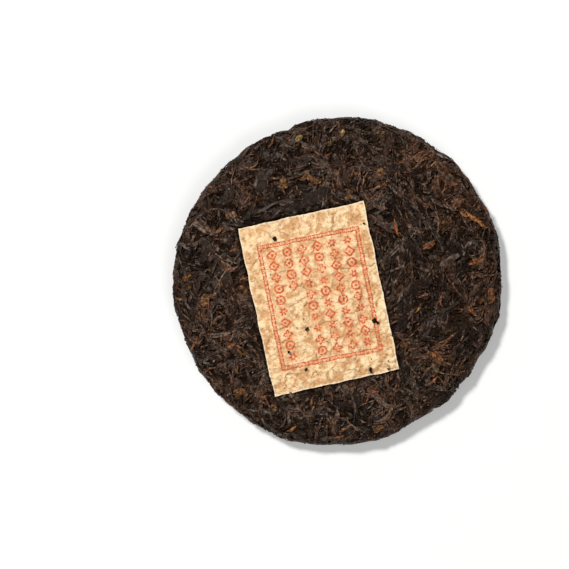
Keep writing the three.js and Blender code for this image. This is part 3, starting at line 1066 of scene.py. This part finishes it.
# How far the painted shade beside the creases reaches
CREASE_SHADE_REACH = 0.4
CREASE_SHAKE = 0.12
EDGE_WANDER = 0.1
EDGE_NIBBLE = 0.025
FAR = 20


def place_on_cake(across, along):
    """The place in plan of a place in the ticket's own directions."""
    x = TICKET_CENTRE[0] + across * math.cos(TICKET_TURN) - along * math.sin(TICKET_TURN)
    y = TICKET_CENTRE[1] + across * math.sin(TICKET_TURN) + along * math.cos(TICKET_TURN)
    return x, y


def short_folds(x, y, seed, count, half_length, rise, steep, gentle):
    """A sum of short lines in the sheet, each steep on one side and gentle on the other."""
    draw = np.random.default_rng(seed)
    total = np.zeros_like(x)
    for _ in range(count):
        across = draw.uniform(-0.52, 0.52) * TICKET_WIDTH
        along = draw.uniform(-0.52, 0.52) * TICKET_LENGTH
        middle_x, middle_y = place_on_cake(across, along)
        heading = float(heading_at(middle_x, middle_y, False)) + draw.normal(0, 0.7)
        heading += math.pi * draw.integers(0, 2)
        bend = draw.normal(0, 0.06)
        east = x - middle_x
        north = y - middle_y
        forward = east * math.cos(heading) + north * math.sin(heading)
        aside = north * math.cos(heading) - east * math.sin(heading) - bend * forward**2
        width = np.where(aside > 0, draw.uniform(*steep), draw.uniform(*gentle))
        window = np.exp(-((forward / draw.uniform(*half_length)) ** 4))
        total += draw.uniform(*rise) * window * np.exp(-np.abs(aside / width) ** 1.3)
    return total


def seen_creases(x, y, width):
    """The creases that the photograph shows, from 0 to 1 in the middle of one."""
    depth = np.zeros_like(x)
    x = x + CREASE_SHAKE * crease_shake(x, y, 0)
    y = y + CREASE_SHAKE * crease_shake(x, y, 9)
    for line in CREASE_LINES:
        corners = [np.array(plan_of_pixel(*corner)) for corner in line]
        for start, end in zip(corners, corners[1:]):
            run = end - start
            share = np.clip(((x - start[0]) * run[0] + (y - start[1]) * run[1]) / (run @ run), 0, 1)
            away = np.hypot(x - start[0] - share * run[0], y - start[1] - share * run[1])
            depth = np.maximum(depth, np.exp(-((away / width) ** 2)))
    return depth


def seen_stains(x, y):
    """The stains that the photograph shows, above 0 where the paper is browner."""
    total = np.zeros_like(x)
    for column, row, reach, strength in STAIN_PLACES:
        east, north = plan_of_pixel(column, row)
        total += strength * np.exp(-((np.hypot(x - east, y - north) / reach) ** 4))
    return total


def averaged(heights, reach):
    """A grid of heights, each replaced by the mean of its neighbourhood."""
    for axis in (0, 1):
        padding = [(0, 0), (0, 0)]
        padding[axis] = (reach + 1, reach)
        sums = np.cumsum(np.pad(heights, padding, mode="edge"), axis=axis)
        size = heights.shape[axis]
        upper = np.take(sums, range(2 * reach + 1, 2 * reach + 1 + size), axis=axis)
        lower = np.take(sums, range(0, size), axis=axis)
        heights = (upper - lower) / (2 * reach + 1)
    return heights


def hollows(heights, reach, full):
    """How far a grid of heights lies below its neighbourhood, as a share of full."""
    grid = heights.reshape(PAPER_ROWS + 1, PAPER_COLUMNS + 1)
    return np.clip((averaged(grid, reach) - grid) / full, -1, 1).ravel()


def uneven_edge(level, first, second):
    """How far the sheet's torn edge stands out along one of its sides."""
    wander = EDGE_WANDER * edge_wander(first, second, level)
    return wander + EDGE_NIBBLE * edge_nibble(first, second, level)


def paper_sheet():
    """The ticket's sheet, crumpled over the leaves, with its creases, and its stains with painted shade in
    its hollows and beside its creases.
    """
    deselect_all()
    bpy.ops.mesh.primitive_grid_add(x_subdivisions=PAPER_COLUMNS, y_subdivisions=PAPER_ROWS, size=1)
    sheet = bpy.context.object
    sheet.name = "ticket_sheet"
    sheet.data.name = "ticket_sheet"
    points = points_of(sheet)
    u = points[:, 0]
    v = points[:, 1]
    near_side = np.clip(np.abs(u) * 2 - 0.9, 0, 0.1) * 10
    near_end = np.clip(np.abs(v) * 2 - 0.9, 0, 0.1) * 10
    across = u * TICKET_WIDTH * (1 + 2 * TICKET_TAPER * v)
    along = v * TICKET_LENGTH
    across = across + near_side * uneven_edge(0, np.sign(u) * FAR, along)
    along = along + near_end * uneven_edge(5, across, np.sign(v) * FAR)
    x, y = place_on_cake(across, along)
    leaves = short_folds(x, y, 31, 330, (1.2, 5.0), (0.1, 0.38), (0.12, 0.3), (0.5, 1.2))
    leaves = LEAF_CEILING * (1 - np.exp(-leaves / LEAF_CEILING))
    cracks = short_folds(x, y, 32, 60, (0.5, 1.8), (0.05, 0.16), (0.08, 0.14), (0.25, 0.6))
    crumple = 0.19 * np.abs(broad_crumple(x, y, 0)) + 0.13 * np.abs(fine_crumple(x, y, 0))
    creases = seen_creases(x, y, CREASE_WIDTH)
    relief = leaves + crumple - cracks - 0.06 * creases
    z = smooth_face(x, y) + PAPER_REST + relief
    set_points(sheet, np.stack([x, y, z], axis=1) * MM)
    creases = np.maximum(creases, 1.9 * cracks)
    # Painted shade: the stains also darken in the sheet's hollows and in a halo beside the creases
    stains = 0.45 * hollows(relief, 6, 0.18) + seen_stains(x, y)
    stains += 0.5 * seen_creases(x, y, CREASE_SHADE_REACH)
    for key, values in (("crease", creases), ("stain_and_shade", stains)):
        sheet.data.attributes.new(key, "FLOAT", "POINT").data.foreach_set("value", values)
    deselect_all()
    sheet.select_set(True)
    bpy.context.view_layer.objects.active = sheet
    solidify = sheet.modifiers.new("thickness", "SOLIDIFY")
    solidify.thickness = PAPER_THICKNESS * MM
    solidify.offset = -1
    bpy.ops.object.modifier_apply(modifier=solidify.name)
    bpy.ops.object.shade_smooth_by_angle(angle=math.radians(60))
    return sheet


ticket = paper_sheet()
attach(ticket, "root")
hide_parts("paper_ticket")
print("the ticket has", len(ticket.data.polygons), "faces")

# %% [markdown]
# Bits of leaf stick to the ticket, some pressed in and some lying on it.

# %% Specks on the paper
SPECK_MARKS = (
    (275, 239, 110, 2.1, 1.6, 0.0, 0.0),
    (374, 321, 150, 2.1, 1.9, 0.0, 0.0),
    (377.5, 323, 160, 1.7, 1.1, 0.0, 0.0),
    (307, 329, 50, 2.2, 1.2, 0.0, 0.0),
    (370.6, 370.5, 100, 2.8, 1.2, 0.0, 0.0),
    (388, 369, 150, 1.2, 0.8, 0.0, 0.1),
    (306, 369.5, 35, 1.7, 0.9, 0.0, 0.0),
    (316, 372, 60, 0.5, 0.4, 0.1, 0.2),
    (289, 352, 60, 1.3, 1.0, 0.0, 0.0),
    (311, 282, 130, 0.5, 0.4, 0.1, 0.0),
    (364, 224, 100, 0.9, 0.7, 0.0, 0.2),
    (371, 359, 20, 0.6, 0.4, 0.1, 0.1),
    (388, 361, 80, 0.7, 0.4, 0.1, 0.1),
    (327, 341.5, 10, 0.6, 0.4, 0.2, 0.3),
    (303.5, 319, 60, 0.6, 0.4, 0.2, 0.3),
    (297, 328, 120, 0.5, 0.4, 0.2, 0.3),
    (270.5, 274.5, 60, 0.5, 0.4, 0.2, 0.3),
    (286, 385, 60, 0.6, 0.4, 0.1, 0.0),
)
speck_spots = marked(SPECK_MARKS, lift=0.5, on_paper=1.0)
specks = scatter("ticket_specks", CRUMBS, speck_spots, "paper_ticket")

# %% [markdown]
# ## Finishes
# Dried tea leaf is matt with a faint waxy sheen, since the pressing smooths its skin.
# The eye reads it from fine wrinkles along each leaf and from each leaf's own brown.
# So the colour starts from two attributes, and a noise stretched along the UV map gives the wrinkles, both
# as bump and as painted shade in their furrows and painted highlight on their ridges.

# %% Helpers for materials
def hex_colour(code):
    """An sRGB hex colour as linear red, green, blue and alpha."""
    channels = [int(code[i : i + 2], 16) / 255 for i in (0, 2, 4)]
    linear = [c / 12.92 if c <= 0.04045 else ((c + 0.055) / 1.055) ** 2.4 for c in channels]
    return (*linear, 1.0)


def add_node(tree, kind, settings=(), inputs=()):
    """Adds a node, sets its settings, and links or sets its inputs."""
    node = tree.nodes.new(kind)
    for key, value in dict(settings).items():
        setattr(node, key, value)
    for key, value in dict(inputs).items():
        if isinstance(value, bpy.types.NodeSocket):
            tree.links.new(value, node.inputs[key])
        else:
            node.inputs[key].default_value = value
    return node


def new_material(name):
    """An empty material's tree, and the material."""
    material = bpy.data.materials.new(name)
    material.use_nodes = True
    material.node_tree.nodes.clear()
    return material, material.node_tree


def calculator(tree):
    """A function that adds one sum on sockets or numbers to a tree."""

    def calculate(operation, first, second=0.0, third=0.0):
        inputs = {0: first, 1: second, 2: third}
        return add_node(tree, "ShaderNodeMath", {"operation": operation}, inputs).outputs[0]

    return calculate


def attribute(tree, name):
    return add_node(tree, "ShaderNodeAttribute", {"attribute_name": name}).outputs["Fac"]


def mapped(tree, vector, **settings):
    """A vector moved, turned or stretched."""
    return add_node(tree, "ShaderNodeMapping", inputs={"Vector": vector, **settings}).outputs[0]


def vector_sum(tree, operation, *values):
    inputs = dict(enumerate(values))
    return add_node(tree, "ShaderNodeVectorMath", {"operation": operation}, inputs).outputs[0]


def noise(tree, vector, scale, detail, **more):
    """A noise's outputs: first its value, and by name its colour."""
    inputs = {"Vector": vector, "Scale": scale, "Detail": detail, **more}
    return add_node(tree, "ShaderNodeTexNoise", inputs=inputs).outputs


def spread(tree, value, low, high, new_low, new_high):
    """A value's range from low to high, cut off there and spread over a new one."""
    inputs = {0: value, 1: low, 2: high, 3: new_low, 4: new_high}
    return add_node(tree, "ShaderNodeMapRange", inputs=inputs).outputs[0]


def mixed(tree, share, first, second, blend="MIX"):
    """A share of the second colour laid over the first."""
    settings = {"data_type": "RGBA", "blend_type": blend}
    return add_node(tree, "ShaderNodeMix", settings, {0: share, 6: first, 7: second}).outputs[2]


def bumped(tree, height, depth, strength=1.0):
    """A normal bent by a height, with the depth in millimetres."""
    inputs = {"Height": height, "Strength": strength, "Distance": depth * MM}
    return add_node(tree, "ShaderNodeBump", inputs=inputs).outputs[0]


def surface(tree, colour, roughness, **more):
    """Ends a tree in one surface, with further inputs by their names."""
    inputs = {"Base Color": colour, "Roughness": roughness}
    for key, value in more.items():
        inputs[key.replace("_", " ")] = value
    shader = add_node(tree, "ShaderNodeBsdfPrincipled", inputs=inputs)
    add_node(tree, "ShaderNodeOutputMaterial", inputs={0: shader.outputs[0]})


def dress(piece, material):
    piece.data.materials.clear()
    piece.data.materials.append(material)


# %% Tea leaf
# Real wrinkles are about 0.2 mm apart, too fine to show from here, so they are drawn
# coarser
WRINKLE_PITCH = 0.5
WRINKLE_STRETCH = 0.8
WRINKLE_DEPTH = 0.2


def leaf_material(name, darkest, palest, warmest, roughness, sheen=0.2):
    """Dried leaf: its colour goes by tone and warmth, with wrinkles along the leaf, painted darker in their
    furrows and lighter on their ridges as shade and highlight.
    """
    material, tree = new_material(name)
    calculate = calculator(tree)
    uv = add_node(tree, "ShaderNodeUVMap", {"uv_map": "leaf"}).outputs[0]
    stretched = mapped(tree, uv, Scale=(WRINKLE_STRETCH, 1 / WRINKLE_PITCH / 2, 1))
    wrinkle = noise(tree, stretched, 1.0, 3.0)[0]
    blotch = noise(tree, uv, 1.0, 2.0)[0]
    tone = attribute(tree, "tone")
    shows = spread(tree, tone, 0.0, 0.6, 0.25, 1.0)
    warm_share = calculate("MULTIPLY", attribute(tree, "warmth"), shows)
    # Painted shade in the wrinkles' furrows and painted highlight on their ridges, from the same noise as
    # the bump
    wrinkle_shade_and_highlight = spread(tree, wrinkle, 0.4, 0.62, 0.35, 1.8)
    uneven = spread(tree, blotch, 0.35, 0.66, 0.35, 1.65)
    colour = mixed(tree, tone, hex_colour(darkest), hex_colour(palest))
    colour = mixed(tree, warm_share, colour, hex_colour(warmest))
    colour = mixed(tree, 1.0, colour, calculate("MULTIPLY", wrinkle_shade_and_highlight, uneven), "MULTIPLY")
    surface(
        tree, colour, roughness, Specular_IOR_Level=sheen, Specular_Tint=hex_colour("fae8d8"),
        Normal=bumped(tree, wrinkle, WRINKLE_DEPTH),
    )
    return material


# Ripe leaf, nearly black at its lowest tone, which the painted gap shade brings about in the gaps, and grey
# brown at its highest
ripe_leaf = leaf_material("ripe_tea_leaf", "170a04", "695b50", "523422", 0.42)
for piece in (long_leaves, short_leaves, strips, threads):
    dress(piece, ripe_leaf)
# The same leaf pressed open, duller because it is flat and dusty
dress(plates, leaf_material("opened_tea_leaf", "150a05", "4d433b", "452b1c", 0.5, sheen=0.1))
# Less fermented leaf, as strands and as flakes
dress(brown_leaves, leaf_material("brown_tea_leaf", "201007", "705a42", "6a4029", 0.42))
dress(flakes, leaf_material("brown_tea_flake", "24140a", "7a623c", "623d22", 0.55, sheen=0.1))
# Buds, whose down ferments to gold
dress(golden_tips, leaf_material("golden_tea_bud", "351d0f", "86693f", "7c4420", 0.5))
# Woody stalks, paler than the leaves
dress(stalks, leaf_material("tea_stalk", "20150e", "675541", "603c26", 0.45))
# Broken leaf, matt at its torn edges, and the black bits on the paper
dress(crumbs, leaf_material("tea_crumb", "180d06", "6e6256", "563824", 0.55))
dress(specks, leaf_material("tea_speck", "0d0a08", "2b1f17", "2b1a10", 0.6))

# %% [markdown]
# The core is the same leaf, ground and packed, where little light comes in. It is
# nearly black, with a grain of about a millimetre.

# %% Packed tea
GRAIN_PITCH = 0.9
GRAIN_DEPTH = 0.3


def core_material():
    """Packed tea: nearly black, with a matt grain."""
    material, tree = new_material("packed_tea")
    place = add_node(tree, "ShaderNodeTexCoord").outputs["Object"]
    grain = noise(tree, place, 1 / (GRAIN_PITCH * MM), 4.0)[0]
    colour = mixed(tree, grain, hex_colour("0f0804"), hex_colour("21150c"))
    surface(
        tree, colour, 0.9, Specular_IOR_Level=0.1,
        Normal=bumped(tree, grain, GRAIN_DEPTH, strength=0.8),
    )
    return material


dress(core, core_material())

# %% [markdown]
# ## Paper and print
# The ticket is soft handmade paper, thin enough that the tea has stained it from below. It is blotched over
# a few millimetres, fibrous over one and crumpled into small facets. Painted shade darkens it brown in its
# hollows, along its creases and along the folds of its facets, and a painted highlight makes its edge pale.
# The print is one faded red: a frame of small fret boxes between two lines, and inside it columns of plain
# ornaments. An image would be quickest, but the pattern is drawn by nodes from the paper's own UV map, so it
# stays sharp at any size. Each ornament is a simple distance: a ring, a lozenge, a flower or a star.

# %% The map of the sheet
FRAME_OFFSET = (0.47, 0.0)
FRAME_TURN = math.radians(0.8)
PRINT_SHAKE = 0.9


def on_the_sheet(tree):
    """Places in millimetres from the print's middle, as they are and slightly shaken."""
    uv = add_node(tree, "ShaderNodeUVMap", {"uv_map": "UVMap"}).outputs[0]
    corner = (-TICKET_WIDTH / 2 - FRAME_OFFSET[0], -TICKET_LENGTH / 2 - FRAME_OFFSET[1], 0)
    straight = mapped(tree, uv, Scale=(TICKET_WIDTH, TICKET_LENGTH, 1), Location=corner)
    drift = noise(tree, straight, 0.45, 2.0)["Color"]
    centred = vector_sum(tree, "SUBTRACT", drift, (0.5, 0.5, 0.5))
    shaken = vector_sum(tree, "MULTIPLY_ADD", centred, (PRINT_SHAKE, PRINT_SHAKE, 0), straight)
    return straight, shaken


def depth_in_sheet(tree, straight):
    """How far a place is from the sheet's nearest edge."""
    calculate = calculator(tree)
    plan = add_node(tree, "ShaderNodeSeparateXYZ", inputs={0: straight})
    off_middle = calculate("ABSOLUTE", calculate("ADD", plan.outputs[0], FRAME_OFFSET[0]))
    off_centre = calculate("ABSOLUTE", calculate("ADD", plan.outputs[1], FRAME_OFFSET[1]))
    side = calculate("SUBTRACT", TICKET_WIDTH / 2, off_middle)
    return calculate("MINIMUM", side, calculate("SUBTRACT", TICKET_LENGTH / 2, off_centre))


# %% The printed frame
FRAME_WIDTH = 34.6
FRAME_HEIGHT = 42.4
FRET_BAND = 1.5
FRAME_LINE = 0.17
FRET_PITCH = 1.42
FRET_BOX = 0.33
FRET_LINE = 0.09


def print_frame(tree, across, along):
    """The ink of two lines with a row of small boxes between, and the depth inside."""
    calculate = calculator(tree)
    side_depth = calculate("SUBTRACT", FRAME_WIDTH / 2, calculate("ABSOLUTE", across))
    end_depth = calculate("SUBTRACT", FRAME_HEIGHT / 2, calculate("ABSOLUTE", along))
    depth = calculate("MINIMUM", side_depth, end_depth)
    outer_line = calculate("COMPARE", depth, FRAME_LINE, FRAME_LINE)
    inner_line = calculate("COMPARE", depth, FRET_BAND - FRAME_LINE, FRAME_LINE)
    on_side = calculate("LESS_THAN", side_depth, end_depth)
    choice = {0: on_side, 2: across, 3: along}
    run = add_node(tree, "ShaderNodeMix", {"data_type": "FLOAT"}, choice).outputs[0]
    box_share = calculate("SUBTRACT", calculate("FRACT", calculate("DIVIDE", run, FRET_PITCH)), 0.5)
    box_across = calculate("ABSOLUTE", calculate("MULTIPLY", box_share, FRET_PITCH))
    box_deep = calculate("ABSOLUTE", calculate("SUBTRACT", depth, FRET_BAND / 2))
    box_reach = calculate("MAXIMUM", box_across, box_deep)
    box = calculate("COMPARE", box_reach, FRET_BOX, FRET_LINE)
    return calculate("MAXIMUM", calculate("MAXIMUM", outer_line, inner_line), box), depth


# %% The printed ornaments
FIELD_MARGIN = 2.0
ORNAMENT_COLUMNS = 6
ORNAMENT_ROWS = 10
ORNAMENT_SIZE = 1.6
STROKE = 0.31
DOT = 0.42
BLEED_REACH = 2.6
BARE_COLUMN = 1.0
BARE_ROWS = 6.0


def ornament_shapes(tree, side_on, end_on, round_on, turn):
    """The ink of each ornament, from the distances to the middle of its cell."""
    calculate = calculator(tree)

    def lobes(count, share, least):
        wave = calculate("ABSOLUTE", calculate("COSINE", calculate("MULTIPLY", turn, count)))
        return calculate("MULTIPLY_ADD", wave, share, least)

    ring = calculate("COMPARE", round_on, ORNAMENT_SIZE * 0.85, STROKE)
    dot = calculate("LESS_THAN", round_on, DOT)
    lozenge = calculate("COMPARE", calculate("ADD", side_on, end_on), ORNAMENT_SIZE, STROKE * 1.3)
    flower = calculate("COMPARE", round_on, lobes(2.0, 0.85, 0.5), STROKE)
    star = calculate("LESS_THAN", round_on, lobes(3.0, 0.95, 0.45))
    return [
        calculate("MAXIMUM", ring, dot),
        calculate("MAXIMUM", lozenge, dot),
        flower,
        calculate("SUBTRACT", star, dot),
    ]


def print_ornaments(tree, across, along, depth):
    """The ink of the field, where each cell holds one ornament, and how near one is."""
    calculate = calculator(tree)
    field_width = FRAME_WIDTH - 2 * FIELD_MARGIN
    field_height = FRAME_HEIGHT - 2 * FIELD_MARGIN
    cell_width = field_width / ORNAMENT_COLUMNS
    cell_height = field_height / ORNAMENT_ROWS
    column = calculate("DIVIDE", calculate("ADD", across, field_width / 2), cell_width)
    row = calculate("DIVIDE", calculate("ADD", along, field_height / 2), cell_height)
    column_share = calculate("SUBTRACT", calculate("FRACT", column), 0.5)
    row_share = calculate("SUBTRACT", calculate("FRACT", row), 0.5)
    cell_across = calculate("MULTIPLY", column_share, cell_width)
    cell_along = calculate("MULTIPLY", row_share, cell_height)
    side_on = calculate("ABSOLUTE", cell_across)
    end_on = calculate("ABSOLUTE", cell_along)
    squares = [calculate("POWER", distance, 2.0) for distance in (side_on, end_on)]
    round_on = calculate("SQRT", calculate("ADD", *squares))
    turn = calculate("ARCTAN2", cell_along, cell_across)

    number = calculate("FLOOR", column)
    numbers = {0: number, 1: calculate("FLOOR", row)}
    cell = add_node(tree, "ShaderNodeCombineXYZ", inputs=numbers).outputs[0]
    flat = {"noise_dimensions": "2D"}
    choice = add_node(tree, "ShaderNodeTexWhiteNoise", flat, {"Vector": cell}).outputs["Value"]
    shapes = ornament_shapes(tree, side_on, end_on, round_on, turn)
    ornament = 0.0
    for place, shape in enumerate(shapes):
        chosen = calculate("COMPARE", choice, (place + 0.5) / len(shapes), 0.5 / len(shapes))
        ornament = calculate("MULTIPLY_ADD", shape, chosen, ornament)

    in_column = calculate("COMPARE", number, BARE_COLUMN, 0.5)
    bare = calculate("MULTIPLY", in_column, calculate("LESS_THAN", row, BARE_ROWS))
    in_field = calculate("GREATER_THAN", depth, FIELD_MARGIN)
    printed = calculate("MULTIPLY", in_field, calculate("SUBTRACT", 1.0, bare))
    away = calculate("SUBTRACT", 1.0, calculate("DIVIDE", round_on, BLEED_REACH))
    near = calculate("MULTIPLY", calculate("MAXIMUM", away, 0.0), printed)
    return calculate("MULTIPLY", ornament, printed), near


# %% Handmade paper
CRUMPLE_PITCH = 2.8
CRUMPLE_DEPTH = 0.9
CLEAN_PAPER = "fbd8a6"
# The brown of tea stain, also used for painted shade in the hollows and folds
STAINED_AND_SHADED_PAPER = "c48039"
PALE_FIBRE = "fce3b8"
# The pale of a painted highlight along the torn edge
EDGE_HIGHLIGHT = "fff0cf"
# The dark brown of painted shade in the creases and folds
CREASE_SHADE = "6e3406"
RED_INK = "d05a30"
BLED_INK = "eb9f6c"


def facets(tree, place, pitch):
    """The distance to the nearest fold of a sheet that is crumpled into facets."""
    kind = {"voronoi_dimensions": "2D", "feature": "DISTANCE_TO_EDGE"}
    inputs = {"Vector": place, "Scale": 1 / pitch}
    return add_node(tree, "ShaderNodeTexVoronoi", kind, inputs).outputs["Distance"]


def paper_material():
    """Soft handmade paper: stained, printed in red, creased and crumpled, with painted shade in its hollows,
    creases and folds and a painted highlight along its edge.
    """
    material, tree = new_material("handmade_paper")
    calculate = calculator(tree)
    straight, shaken = on_the_sheet(tree)
    turned = mapped(tree, shaken, Rotation=(0, 0, FRAME_TURN))
    plan = add_node(tree, "ShaderNodeSeparateXYZ", inputs={0: turned}).outputs
    frame_ink, depth = print_frame(tree, plan[0], plan[1])
    ornament, near_mark = print_ornaments(tree, plan[0], plan[1], depth)

    # The ink missed the hollows of the paper, and bled into what is next to it
    miss = noise(tree, straight, 1.3, 3.0)[0]
    taken = spread(tree, miss, 0.38, 0.5, 0.35, 1.0)
    ink = calculate("MINIMUM", calculate("MAXIMUM", frame_ink, ornament), 1.0)
    ink_share = calculate("MULTIPLY", ink, taken)
    in_band = calculate("COMPARE", depth, FRET_BAND / 2, FRET_BAND / 2)
    beside = calculate("MAXIMUM", calculate("MULTIPLY", in_band, 0.5), near_mark)
    bled = calculate("MULTIPLY", beside, taken)

    # The paper is fibrous, and folded along the edges of its facets
    fibre = noise(tree, mapped(tree, straight, Scale=(1.0, 2.2, 1.0)), 1.2, 5.0, Roughness=0.7)
    bent = vector_sum(tree, "MULTIPLY_ADD", fibre["Color"], (0.7, 0.7, 0), shaken)
    folds = facets(tree, bent, CRUMPLE_PITCH)
    fine_folds = facets(tree, bent, CRUMPLE_PITCH / 2)
    broken = spread(tree, miss, 0.46, 0.58, 0.0, 1.0)

    # The tea has stained it in blotches, and painted shade darkens it in its hollows and along its folds
    groove_shade = calculate("MULTIPLY", spread(tree, folds, 0.0, 0.25, 1.0, 0.0), broken)
    stain_and_shade = calculate("MULTIPLY_ADD", groove_shade, 0.4, attribute(tree, "stain_and_shade"))
    blotch = spread(tree, noise(tree, straight, 0.28, 3.0)[0], 0.33, 0.61, 0.0, 1.0)
    clean = calculate("SUBTRACT", blotch, calculate("MULTIPLY", stain_and_shade, 0.9))
    clean = calculate("MINIMUM", calculate("MAXIMUM", clean, 0.0), 1.0)
    fibre_share = calculate("MULTIPLY", spread(tree, fibre[0], 0.32, 0.72, 0.0, 1.0), 0.55)

    # Painted shade makes the creases and the folds between facets darkest, in pieces, and a painted
    # highlight makes the torn edge pale
    seen = spread(tree, attribute(tree, "crease"), 0.28, 0.9, 0.0, 0.8)
    seen = calculate("MULTIPLY", seen, spread(tree, fibre[0], 0.36, 0.6, 1.0, 0.5))
    fold_shade = spread(tree, folds, 0.015, 0.06, 1.0, 0.0)
    fold_shade = calculate("MULTIPLY", fold_shade, calculate("MULTIPLY", broken, 0.35))
    edge_highlight_share = spread(tree, depth_in_sheet(tree, straight), 0.1, 0.6, 0.7, 0.0)

    colour = mixed(tree, clean, hex_colour(STAINED_AND_SHADED_PAPER), hex_colour(CLEAN_PAPER))
    colour = mixed(tree, fibre_share, colour, hex_colour(PALE_FIBRE))
    colour = mixed(tree, bled, colour, hex_colour(BLED_INK))
    colour = mixed(tree, ink_share, colour, hex_colour(RED_INK))
    crease_shade_share = calculate("MAXIMUM", seen, fold_shade)
    colour = mixed(tree, crease_shade_share, colour, hex_colour(CREASE_SHADE))
    colour = mixed(tree, edge_highlight_share, colour, hex_colour(EDGE_HIGHLIGHT))
    height = calculate("MULTIPLY_ADD", fine_folds, 0.35, folds)
    height = calculate("MULTIPLY_ADD", fibre[0], 0.06, height)
    surface(tree, colour, 0.85, Normal=bumped(tree, height, CRUMPLE_DEPTH))
    return material


dress(ticket, paper_material())

# %% [markdown]
# ## Remove the masters
# The single leaves were only patterns to copy.

# %% Clear away
STRANDS = (tight_leaf, loose_leaf, folded_leaf, bud, stalk, thread)
FLAKES = (flat_plate, cupped_plate, pleated_plate, sharp_crumb, blunt_crumb)
for master in STRANDS + FLAKES:
    bpy.data.objects.remove(master, do_unlink=True)

# %% [markdown]
# ## Floor, light and camera
# The cake lies on a plain pale floor, which glows a little so that it comes out nearly
# white. A soft key light from the upper left draws the leaves' relief, and a wide fill
# light from the lower right and a pale sky lift the shadows. The camera looks down on
# the face, nearly square on, from far enough away that the face hardly widens.

# %% Floor
FLOOR_SIDE = 3.0


def floor_material():
    """A plain pale board, as under a product photograph."""
    material, tree = new_material("plain_floor")
    surface(
        tree, hex_colour("d6d6d5"), 0.9, Emission_Color=hex_colour("ffffff"), Emission_Strength=0.22
    )
    return material


deselect_all()
bpy.ops.mesh.primitive_plane_add(size=FLOOR_SIDE, location=(0, 0, 0))
floor = bpy.context.object
floor.name = "floor"
dress(floor, floor_material())

# %% Light
SKY_STRENGTH = 0.18


def aim(thing, target):
    """Turns a light or camera so that it looks at a point, with +Y up in its view."""
    back = (thing.location - Vector(target)).normalized()
    right = Vector((0, 1, 0)).cross(back).normalized()
    up = back.cross(right)
    thing.rotation_mode = "QUATERNION"
    thing.rotation_quaternion = Matrix((right, up, back)).transposed().to_quaternion()


def area_light(name, place, size, power):
    light = bpy.data.lights.new(name, "AREA")
    light.shape = "DISK"
    light.size = size
    light.energy = power
    lamp = bpy.data.objects.new(name, light)
    lamp.location = place
    bpy.context.scene.collection.objects.link(lamp)
    aim(lamp, (0, 0, 0))
    return lamp


area_light("key_light", (-0.9, 0.95, 2.1), 0.45, 58)
area_light("fill_light", (1.0, -1.3, 2.0), 1.4, 19)
sky = bpy.data.worlds.new("sky")
sky.use_nodes = True
background = sky.node_tree.nodes["Background"]
background.inputs[0].default_value = hex_colour("ffffff")
background.inputs[1].default_value = SKY_STRENGTH
bpy.context.scene.world = sky
bpy.context.scene.view_settings.view_transform = "Standard"

# %% Camera
SENSOR = 36.0

camera_data = bpy.data.cameras.new("camera")
camera_data.sensor_width = SENSOR
camera_data.lens = CAMERA_DISTANCE / MM_PER_PIXEL / IMAGE_PIXELS * SENSOR
camera = bpy.data.objects.new("camera", camera_data)
camera.location = CAMERA_PLACE * MM
bpy.context.scene.collection.objects.link(camera)
aim(camera, CAMERA_AIM * MM)
bpy.context.scene.camera = camera
print("the lens is", round(camera_data.lens, 1), "mm")
